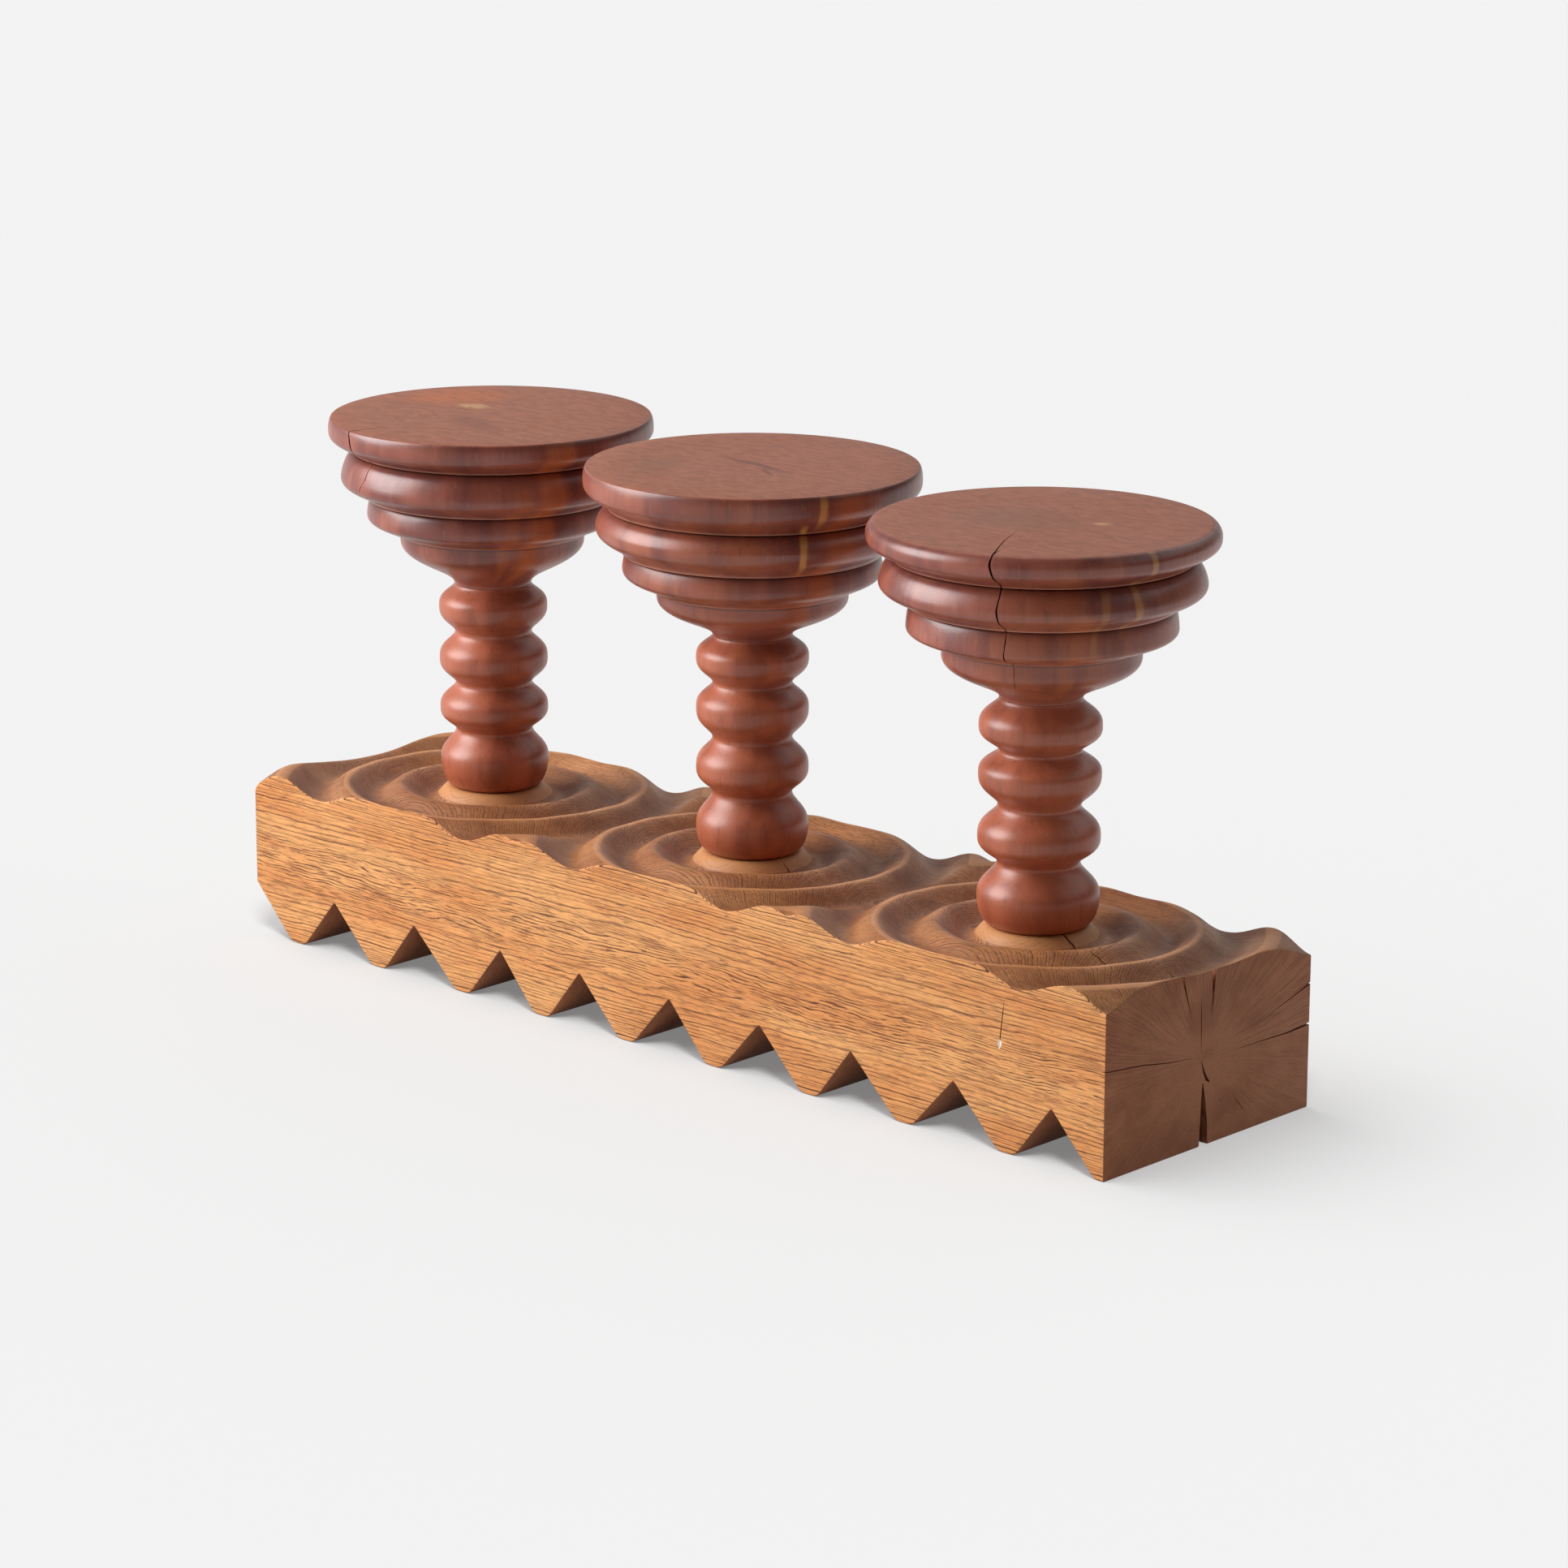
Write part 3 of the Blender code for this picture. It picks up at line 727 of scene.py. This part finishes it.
# Checks in the right end: each point is (y, z, half width, depth) in millimetres
END_CHECKS = {
    "heart_check": ((-11.2, 83, 0.2, 2), (-11.8, 100, 0.6, 6), (-12.2, 118, 0.7, 6), (-12.6, 132, 0.1, 1)),
    "near_top_check": ((-25.5, 117, 0.1, 2), (-30, 131, 0.6, 12),
                       (-34, 143, 1, 22), (-37.8, 156, 1.4, 30)),
    "far_top_check": ((1.5, 112, 0.1, 2), (3, 128, 0.9, 20), (3.6, 141, 1.9, 35), (4.2, 158, 2.6, 45)),
    "front_check": ((-22, 81.5, 0.1, 2), (-55, 85, 0.4, 8), (-90, 91, 0.5, 10), (-139, 96, 0.5, 6)),
    "back_check": ((35, 76.5, 0.1, 2), (70, 75.5, 0.4, 10), (105, 74.5, 0.6, 16), (139, 76, 1.3, 24)),
    "high_back_check": ((70, 93.5, 0.1, 2), (100, 102, 0.4, 8), (122, 108, 0.7, 12), (139, 113, 1.2, 18)),
    "heart_gap": ((-10.8, 76, 0.3, 10), (-7, 65.5, 1.4, 30), (-3, 58.5, 1.6, 30), (1.2, 55, 0.3, 8)),
    "low_check": ((33, 36, 0.1, 1), (42, 26, 0.5, 5), (52, 15, 0.1, 1)),
    "wide_split": ((-8.5, 56, 0.6, 40), (-7, 40, 3, 75), (-6.2, 20, 4.8, 90), (-6, -3, 6.2, 95)),
}

# Checks along the carved top: degrees from upright round the pith, x from and to, half width, depth
TOP_CHECKS = (
    (-2, 0.368, 0.400, 0.0009, 0.006),
    (-17, 0.424, 0.448, 0.0008, 0.006),
    (-2, 0.492, 0.524, 0.0008, 0.006),
    (2, 0.044, 0.064, 0.0007, 0.006),
    (1, 0.108, 0.128, 0.0007, 0.006),
)
TOP_CHECK_SWAY = 0.0007
TOP_CHECK_OVERRUN = 0.0012
TOP_TRIES = 4

# The old knock in the front face, as (x, z): its scratch runs down to its chip
KNOCK_TOP = (0.4185, 0.1350)
KNOCK_CHIP = (0.4140, 0.0960)
KNOCK_OVERRUN = 0.0005

# Its two cuts: share of the way down, half width, depth
KNOCK_CUTS = {
    "knock_scratch": ((0.00, 0.0001, 0.0004), (0.30, 0.0006, 0.0025), (0.90, 0.0007, 0.0025),
                      (0.94, 0.0002, 0.0004)),
    "knock_chip": ((0.90, 0.0006, 0.0003), (0.97, 0.0030, 0.0012), (1.05, 0.0024, 0.0010),
                   (1.15, 0.0004, 0.0003)),
}


def end_check(name, points):
    """A check in the right end, in from the end face."""
    points = [[value / 1000 for value in point] for point in points]
    face = BEAM_LENGTH / 2
    stations = []
    for i, (y, z, half, depth) in enumerate(points):
        before = points[max(i - 1, 0)]
        after = points[min(i + 1, len(points) - 1)]
        run = Vector((after[0] - before[0], after[1] - before[1])).normalized()
        side = Vector((-run.y, run.x)) * half
        proud = face + CHECK_OVERRUN
        stations.append(((proud, y + side.x, z + side.y), (proud, y - side.x, z - side.y),
                         (face - depth, y, z)))
    return sliver(name, stations)


def top_check(name, turn, start, end, half, depth, seed):
    """A check along the carved top from x start to end, in a plane through the pith."""
    out = Vector((0, math.sin(turn), math.cos(turn)))
    aside = Vector((0, math.cos(turn), -math.sin(turn)))
    stations = []
    for i in range(CHECK_STEPS + 1):
        share = i / CHECK_STEPS
        x = start + (end - start) * share
        z = MOUND_HEIGHT
        for _ in range(TOP_TRIES):
            y = PITH[0] + (z - PITH[1]) * math.tan(turn) + TOP_CHECK_SWAY * math.sin(seed + 5.1 * i)
            z = float(carved_height(np.array([x]), np.array([y]))[0][0])
        side = aside * half * (0.05 + math.sin(math.pi * share) ** 0.6)
        spot = Vector((x, y, z)) + out * TOP_CHECK_OVERRUN
        stations.append((spot + side, spot - side, spot - out * (depth + TOP_CHECK_OVERRUN)))
    return sliver(name, stations)


def knock(chipped):
    """The thin dark scratch down the front face, and the pale chip at its foot."""
    face = -BEAM_DEPTH / 2
    run = Vector((KNOCK_CHIP[0] - KNOCK_TOP[0], 0, KNOCK_CHIP[1] - KNOCK_TOP[1]))
    cutters = []
    for name, shape in KNOCK_CUTS.items():
        stations = []
        for share, half, depth in shape:
            spot = Vector((KNOCK_TOP[0], face, KNOCK_TOP[1])) + run * share
            stations.append([spot + Vector(shift) for shift in
                             ((-half, -KNOCK_OVERRUN, 0), (half, -KNOCK_OVERRUN, 0), (0, depth, 0))])
        cutters.append(sliver(name, stations))
    cutters[1].data.materials.append(chipped)
    return cutters


def beam_cutters(chipped):
    """Everything that is cut out of the beam: mortises, drying checks and the knock in its front."""
    mortise_floor = MOUND_HEIGHT - FOOT_TENON - FIT_GAP
    cutters = [bore("mortise_%d" % i, place, mortise_floor, MOUND_HEIGHT + CUT_OVERRUN)
               for i, place in enumerate(POSTS)]
    cutters += [end_check(name, points) for name, points in END_CHECKS.items()]
    for i, (turn, start, stop, half, depth) in enumerate(TOP_CHECKS):
        cutters.append(top_check("top_check_%d" % i, math.radians(turn), start, stop, half, depth, 1.7 * i))
    return cutters + knock(chipped)


def swell(fullest, thinnest, fullness):
    """Points after fullest, along an S-shaped curve that leaves and arrives running up the axis."""
    points = []
    for i in range(1, SWELL_FACETS + 1):
        along = i / SWELL_FACETS
        width = (1 + math.cos(math.pi * along**fullness)) / 2
        points.append((thinnest[0] + (fullest[0] - thinnest[0]) * width,
                       fullest[1] + (thinnest[1] - fullest[1]) * along))
    return points


def arc(start, end, turn=90, leaves_level=True):
    """Points after start, along an arc that leaves start level, or else running up the axis.

    It meets end at a right angle to that, or still leaning when it turns by less than 90 degrees.
    """
    points = []
    whole = math.radians(turn)
    for i in range(1, ROUND_FACETS + 1):
        angle = whole * i / ROUND_FACETS
        across = math.sin(angle) / math.sin(whole)
        along = (1 - math.cos(angle)) / (1 - math.cos(whole))
        if not leaves_level:
            across, along = along, across
        points.append((start[0] + (end[0] - start[0]) * across, start[1] + (end[1] - start[1]) * along))
    return points


def post_outline(pedestal):
    """From the head tenon's sawn end, down the beads and the ball, to the foot tenon's."""
    bead_radius = pedestal["bead_radius"]
    head = pedestal["neck_share"] * POST_HEIGHT - FIT_GAP
    beads = [(bead_radius, share * POST_HEIGHT) for share in pedestal["bead_shares"]]
    ball = beads[0]
    outline = [(TENON_RADIUS, head + HEAD_TENON), (TENON_RADIUS, head), (NECK_RADIUS, head)]
    above = (NECK_RADIUS, head)
    for bead in reversed(beads):
        fullness = BALL_FULLNESS if bead is ball else BEAD_FULLNESS
        outline += list(reversed([bead] + swell(bead, above, fullness)))[1:]
        if bead is not ball:
            lower = beads[beads.index(bead) - 1]
            above = (NECK_RADIUS, (bead[1] + lower[1]) / 2)
            if lower is ball:
                above = (NECK_RADIUS, lower[1] + (bead[1] - lower[1]) * BALL_VALLEY_SHARE)
            outline += swell(bead, above, BEAD_FULLNESS)
    outline += arc(ball, (POST_FOOT_SHARE * bead_radius, FIT_GAP), leaves_level=False)
    return outline + [(TENON_RADIUS, FIT_GAP), (TENON_RADIUS, -FOOT_TENON)]


def bowl_outline(pedestal):
    """From the seat's top, over its edge, down the four rings, and up into the blind mortise.

    Also the lips of the rings, with the groove under each.
    """
    top = SEAT_HEIGHT - MOUND_HEIGHT
    bottom = pedestal["neck_share"] * POST_HEIGHT
    rings = []
    for radii, depths, rise in zip(RING_RADIUS_SHARES, pedestal["ring_shares"], LIP_RISES):
        widest, lip = [(radius * SEAT_RADIUS, top - depth * BOWL_DEPTH)
                       for radius, depth in zip(radii, depths)]
        rings.append((widest, (lip[0], lip[1] + rise)))
    flat = (SEAT_RADIUS - pedestal["edge"], top)
    outline = [(share * flat[0], top) for share in (0.2, 0.4, 0.6, 0.8)] + [flat]
    outline += arc(flat, rings[0][0])
    last = (LAST_RING_RADIUS_SHARE * SEAT_RADIUS, top - pedestal["last_ring_share"] * BOWL_DEPTH)
    below = [ring[0] for ring in rings[1:]] + [last]
    lips = []
    for (widest, lip), following, quirk in zip(rings, below, LIP_QUIRKS):
        groove = (lip[0] - quirk, lip[1] - QUIRK_DROP)
        lips.append((lip, groove))
        outline += swell(widest, lip, RING_FULLNESS)
        outline.append(groove)
        outline += arc(groove, following, FLARE_TURN)
    outline += swell(last, (NECK_RADIUS, bottom), LAST_RING_FULLNESS)
    bore_radius = TENON_RADIUS + FIT_GAP
    return outline + [(bore_radius, bottom), (bore_radius, bottom + HEAD_TENON)], lips


def painted_light_along(outline, lips):
    """How much painted highlight, up to 1, or painted shade, down to -1, each point of an outline gets: a
    light line on each lip, shade in the groove under it, and shade, partly old oil, on the shoulder below
    it and under the seat's top edge.
    """
    spots = np.array(outline)
    lip_light_and_shade = np.zeros(len(spots))
    for lip, groove in lips:
        lip_light_and_shade += np.exp(-(np.hypot(*(spots - lip).T) / LIP_HIGHLIGHT_SPREAD) ** 2)
        lip_light_and_shade -= np.exp(-(np.hypot(*(spots - groove).T) / GROOVE_SHADE) ** 2)
        below = np.clip(groove[1] - spots[:, 1], 0, None)
        shaded = (below > 0) * (spots[:, 0] > groove[0])
        lip_light_and_shade -= SHOULDER_DARK * np.exp(-(below / SHOULDER_SHADE) ** 2) * shaded
    from_top = spots[0][1] - spots[:, 1]
    lip_light_and_shade -= SHOULDER_DARK * np.exp(-(from_top / SHOULDER_SHADE) ** 2) * (from_top > TOP_ROLL)
    return lip_light_and_shade


def turned(name, outline, lip_light_and_shade, place, steps, material):
    """A closed turned piece: the outline spun about its upright axis, from centre point to centre point."""
    vertices, faces, values = [], [], []
    for (radius, height), value in zip(outline, lip_light_and_shade):
        for i in range(steps):
            angle = math.tau * i / steps
            vertices.append((place + radius * math.cos(angle), radius * math.sin(angle),
                             MOUND_HEIGHT + height))
            values.append(value)
    top, bottom = len(vertices), len(vertices) + 1
    for radius, height in (outline[0], outline[-1]):
        vertices.append((place, 0.0, MOUND_HEIGHT + height))
        values.append(0.0)
    last = (len(outline) - 1) * steps
    for i in range(steps):
        j = (i + 1) % steps
        faces.append((top, i, j))
        faces.append((bottom, last + j, last + i))
        for ring in range(len(outline) - 1):
            upper, lower = ring * steps, (ring + 1) * steps
            faces.append((upper + i, lower + i, lower + j, upper + j))
    return mesh_piece(name, vertices, faces, [material], "lip_light_and_shade", values)


# Checks down a bowl's side: degrees round from +X, height, half width at the rim's radius
SIDE_CHECKS = {
    "right": ((-66.6, 0.5145, 0.0009), (-66.8, 0.505, 0.0011), (-66.0, 0.497, 0.0010),
              (-65.2, 0.488, 0.0009), (-65.0, 0.476, 0.0009), (-65.6, 0.465, 0.0010),
              (-65.0, 0.455, 0.0008), (-64.6, 0.445, 0.0009), (-65.1, 0.432, 0.0010),
              (-65.6, 0.420, 0.0009), (-65.0, 0.410, 0.0008), (-65.2, 0.398, 0.0009),
              (-65.6, 0.386, 0.0008), (-66.2, 0.370, 0.0002)),
    "left": ((-104.5, 0.5140, 0.0006), (-102.8, 0.505, 0.0013), (-102.0, 0.497, 0.0011),
             (-102.6, 0.488, 0.0008), (-100.8, 0.478, 0.0008), (-100.9, 0.467, 0.0011),
             (-103.2, 0.458, 0.0009), (-104.6, 0.451, 0.0002)),
}

# The left check stays in the rim. The right one goes in to the neck, and shallower lower down the bowl.
LEFT_CHECK_FLOOR = 0.72 * SEAT_RADIUS
RIGHT_CHECK_FLOOR = 0.030
RIGHT_CHECK_SLOPE = 0.62
RIGHT_CHECK_NECK = 0.374

# The same check where it runs in across the right seat's top: degrees, radius, half width, depth
CROWN_CHECK = ((-76.0, 0.052, 0.0001, 0.002), (-74.2, 0.066, 0.0003, 0.004), (-71.6, 0.088, 0.0005, 0.006),
               (-69.2, 0.110, 0.0006, 0.007), (-67.4, 0.131, 0.0008, 0.008), (-66.6, 0.146, 0.0009, 0.009),
               (-66.6, 0.156, 0.0009, 0.009))


def around(place, turn, radius, height):
    angle = math.radians(turn)
    return Vector((place + radius * math.cos(angle), radius * math.sin(angle), height))


def seat_checks(place, side):
    """The drying checks of one bowl, as cutters."""
    cutters = []
    if side in SIDE_CHECKS:
        stations = []
        for turn, height, half in SIDE_CHECKS[side]:
            rim = around(place, turn, SEAT_RADIUS + CUT_OVERRUN, height)
            aside = around(0, turn + 90, half, 0)
            floor = LEFT_CHECK_FLOOR
            if side == "right":
                floor = RIGHT_CHECK_FLOOR + RIGHT_CHECK_SLOPE * max(height - RIGHT_CHECK_NECK, 0)
            stations.append((rim + aside, rim - aside, around(place, turn, floor, height)))
        cutters.append(sliver("side_check", stations))
    if side == "right":
        stations = []
        for turn, radius, half, depth in CROWN_CHECK:
            spot = around(place, turn, radius, SEAT_HEIGHT + CHECK_OVERRUN)
            aside = around(0, turn + 90, half, 0)
            stations.append((spot + aside, spot - aside, spot - Vector((0, 0, depth + CHECK_OVERRUN))))
        cutters.append(sliver("crown_check", stations))
    return cutters


def stands_for(piece, node, arris):
    """Smooth a piece except along arrises of more than so many degrees, and put it in its node's place."""
    piece.data.polygons.foreach_set("use_smooth", [True] * len(piece.data.polygons))
    piece.data.set_sharp_from_angle(angle=math.radians(arris))
    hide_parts(node)
    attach(piece, "root")


# How far a post's figure lies from its bowl's, so that the two differ
POST_SEED = 3.1

# The sapwood streaks of each bowl and the blots on its top, as redwood() takes them
SEAT_WOODS = {
    "left": {"seed": 0.31, "warm": 0.55,
             "streaks": ((-19, 0.6, 0.110, 0.60, 0.36, 0.512, ORANGE),
                         (-30, 2, 0.060, 0.35, 0.36, 0.47, ORANGE)),
             "blots": ((-0.044, 0.019, 0.020, 0.013, 20, 0.75, PALE),
                       (-0.090, 0.040, 0.060, 0.045, 60, 0.55, ORANGE),
                       (0.020, -0.040, 0.060, 0.020, -20, 0.35, UMBER))},
    "centre": {"seed": 1.77, "warm": 0.45,
               "streaks": ((-22.5, -0.6, 0.026, 0.80, 0.486, 0.5115, YELLOW),
                           (-28.5, -1, 0.024, 0.80, 0.440, 0.484, YELLOW),
                           (-12, 1, 0.110, 0.50, 0.38, 0.512, ORANGE)),
               "blots": ((0.000, 0.004, 0.055, 0.006, -8, 0.70, UMBER),
                         (0.030, -0.012, 0.020, 0.004, -35, 0.6, UMBER),
                         (-0.065, -0.060, 0.045, 0.028, -50, 0.40, OLIVE))},
    "right": {"seed": 2.93, "warm": 0.50,
              "streaks": ((-11.5, 0, 0.028, 0.55, 0.488, 0.5135, YELLOW),
                          (-14.5, 0, 0.026, 0.45, 0.440, 0.486, YELLOW),
                          (-27.5, 0, 0.026, 0.28, 0.420, 0.480, YELLOW),
                          (-34, 0.5, 0.090, 0.35, 0.37, 0.46, ORANGE)),
              "blots": ((0.044, 0.025, 0.011, 0.007, 30, 0.70, PALE),
                        (-0.020, -0.010, 0.070, 0.050, 10, 0.40, OLIVE))},
}


def dress_beam():
    sawn = oak("oak_sawn", srgb(244, 176, 108), srgb(230, 152, 86), srgb(78, 38, 18),
               lines=1.0, rays=0.08, smears=0.50, roughness=0.58, bump=0.40)
    # Its relief share sets how strongly the painted highlight on the crests and the painted shade in the
    # troughs show
    carved = oak("oak_carved", srgb(208, 144, 92), srgb(172, 110, 68), srgb(84, 48, 32),
                 lines=0.80, rays=0.20, relief=0.50, roughness=0.46)
    # The notch faces and soles get a darker copy of the sawn oak: painted shade for faces that sit in shade
    # under the beam
    notch = oak("oak_notch_shaded", srgb(196, 122, 76), srgb(168, 102, 62), srgb(88, 48, 30),
                lines=0.75, rays=0.15, roughness=0.60)
    end = oak("oak_end", srgb(190, 120, 78), srgb(167, 101, 64), srgb(90, 50, 36),
              lines=0.10, rays=0.60, roughness=0.56)
    cracked = torn_wood("oak_cracked", srgb(168, 104, 66), srgb(120, 70, 44))
    chipped = torn_wood("oak_chipped", srgb(255, 246, 236), srgb(246, 228, 210))
    beam = make_beam([sawn, carved, notch, end])
    cut_all(beam, beam_cutters(chipped), cracked)
    stands_for(beam, "beam", BEAM_ARRIS)
    return beam


def dress_pedestal(pedestal, place, cracked):
    """One post and one bowl, each with its own wood."""
    side = pedestal["side"]
    finish = SEAT_WOODS[side]
    outline = post_outline(pedestal)
    post_wood = redwood("redwood_post_" + side, place, finish["seed"] + POST_SEED,
                        deep=srgb(160, 86, 61), light=srgb(184, 104, 76), matt=0.03, specular=0.60)
    post = turned("turned_post_" + side, outline, [0.0] * len(outline), place, POST_STEPS, post_wood)
    cut_all(post, [kerf("foot_kerf", place, MOUND_HEIGHT + outline[-1][1], 1),
                   kerf("head_kerf", place, MOUND_HEIGHT + outline[0][1], -1)], cracked)
    stands_for(post, "post_" + side, TURNED_ARRIS)

    outline, lips = bowl_outline(pedestal)
    seat_wood = redwood("redwood_seat_" + side, place,
                        deep=srgb(134, 68, 54), light=srgb(154, 84, 66), **finish)
    # Painted highlight on the lips and painted shade under them, partly old oil, along the outline
    lip_light_and_shade = painted_light_along(outline, lips)
    seat = turned("turned_seat_" + side, outline, lip_light_and_shade, place, SEAT_STEPS, seat_wood)
    checks = seat_checks(place, side)
    if checks:
        cut_all(seat, checks, cracked)
    stands_for(seat, "seat_" + side, TURNED_ARRIS)


def dress_wedges():
    """The fox wedges keep their own meshes and get their wood."""
    wedge = torn_wood("oak_wedge_dry", srgb(196, 148, 96), srgb(158, 108, 62))
    for name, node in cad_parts.items():
        if "wedge" in name:
            for slot in node.material_slots:
                slot.material = wedge


def make_floor():
    """A wide pale floor, lifted to the backdrop's white where it is seen, that keeps the bench's shadow."""
    corners = [(x * FLOOR_REACH, y * FLOOR_REACH, 0) for x, y in ((-1, -1), (1, -1), (1, 1), (-1, 1))]
    mesh = bpy.data.meshes.new("floor")
    mesh.from_pydata(corners, [], [(0, 1, 2, 3)])
    floor = add_object("floor", mesh)
    tree = Tree(bpy.data.materials.new("pale_floor"))
    seen = tree.seen_by("Is Camera Ray", "Is Glossy Ray", "Is Transmission Ray")
    shades = [(level, level, level, 1) for level in (FLOOR_BOUNCE, FLOOR_SEEN)]
    tree.finish(tree.mix(seen, *shades), 1, tree.place("Normal"), 0)
    shader = tree.nodes["Principled BSDF"]
    shader.inputs["Emission Color"].default_value = (1, 1, 1, 1)
    tree.plug(shader.inputs["Emission Strength"], tree.times(seen, FLOOR_LIFT))
    mesh.materials.append(tree.owner)
    return floor


def make_world():
    """A plain studio, white to the camera: bright low down, dim overhead and at its right.

    A soft light stands behind the bench.
    """
    tree = Tree(bpy.data.worlds.new("studio"))
    bpy.context.scene.world = tree.owner
    x, y, z = tree.split(tree.place("Generated"))
    level = tree.times(tree.span(z, 0.04, 0.30, HORIZON, SKY), tree.span(x, -0.45, 0.35, 1, FAR_SIDE))
    behind = tree.plus(tree.times(x, 0.20), tree.times(y, 0.98))
    behind = tree.times(tree.span(behind, 0.10, 0.60), tree.span(z, 0.30, 0.50),
                        tree.span(z, 0.75, 0.95, BACK_LIGHT, 0))
    level = tree.plus(level, behind)
    seen = tree.seen_by("Is Camera Ray")
    unseen = tree.minus(1, seen)
    level = tree.plus(tree.times(level, unseen), tree.times(seen, BACKDROP))
    shader = tree.nodes["Background"]
    shader.inputs["Color"].default_value = (1, 1, 1, 1)
    tree.plug(shader.inputs["Strength"], level)


def place_light(name, kind, place, target):
    light = add_object(name, bpy.data.lights.new(name, kind))
    light.location = place
    light.rotation_euler = (Vector(place) - Vector(target)).to_track_quat("Z", "Y").to_euler()
    return light


def make_lights(floor, beam):
    """A softbox low at the left for the bench, and two lamps for the floor's faint and deep shadow."""
    key = place_light("key", "AREA", KEY_PLACE, KEY_TARGET)
    key.data.shape = "DISK"
    key.data.size = KEY_SIZE
    key.data.energy = KEY_POWER
    key.data.color = KEY_COLOUR
    not_floor = group_of("all_but_floor", floor)
    not_floor.collection_objects[0].light_linking.link_state = "EXCLUDE"
    key.light_linking.receiver_collection = not_floor

    only_floor = group_of("floor_only", floor)
    only_beam = group_of("beam_only", beam)
    for name, place, energy, spread in (
            ("floor_left", FLOOR_SUN_PLACE, FLOOR_SUN, FLOOR_SUN_SPREAD),
            ("floor_front", FRONT_SUN_PLACE, FRONT_SUN, FRONT_SUN_SPREAD)):
        lamp = place_light(name, "SUN", place, (0, 0, 0))
        lamp.data.energy = energy
        lamp.data.angle = math.radians(spread)
        lamp.light_linking.receiver_collection = only_floor
        lamp.light_linking.blocker_collection = only_beam


def make_camera():
    lens = bpy.data.cameras.new("camera")
    lens.lens = LENS
    lens.sensor_width = SENSOR
    camera = add_object("camera", lens)
    camera.location = CAMERA_PLACE
    camera.rotation_euler = [math.radians(angle) for angle in CAMERA_TURN]
    bpy.context.scene.camera = camera


def build():
    beam = dress_beam()
    cracked = torn_wood("redwood_cracked", srgb(104, 54, 40), srgb(72, 36, 28))
    for pedestal, place in zip(PEDESTALS, POSTS):
        dress_pedestal(pedestal, place, cracked)
    dress_wedges()
    bpy.context.scene.view_settings.view_transform = "Standard"
    floor = make_floor()
    make_world()
    make_lights(floor, beam)
    make_camera()


build()
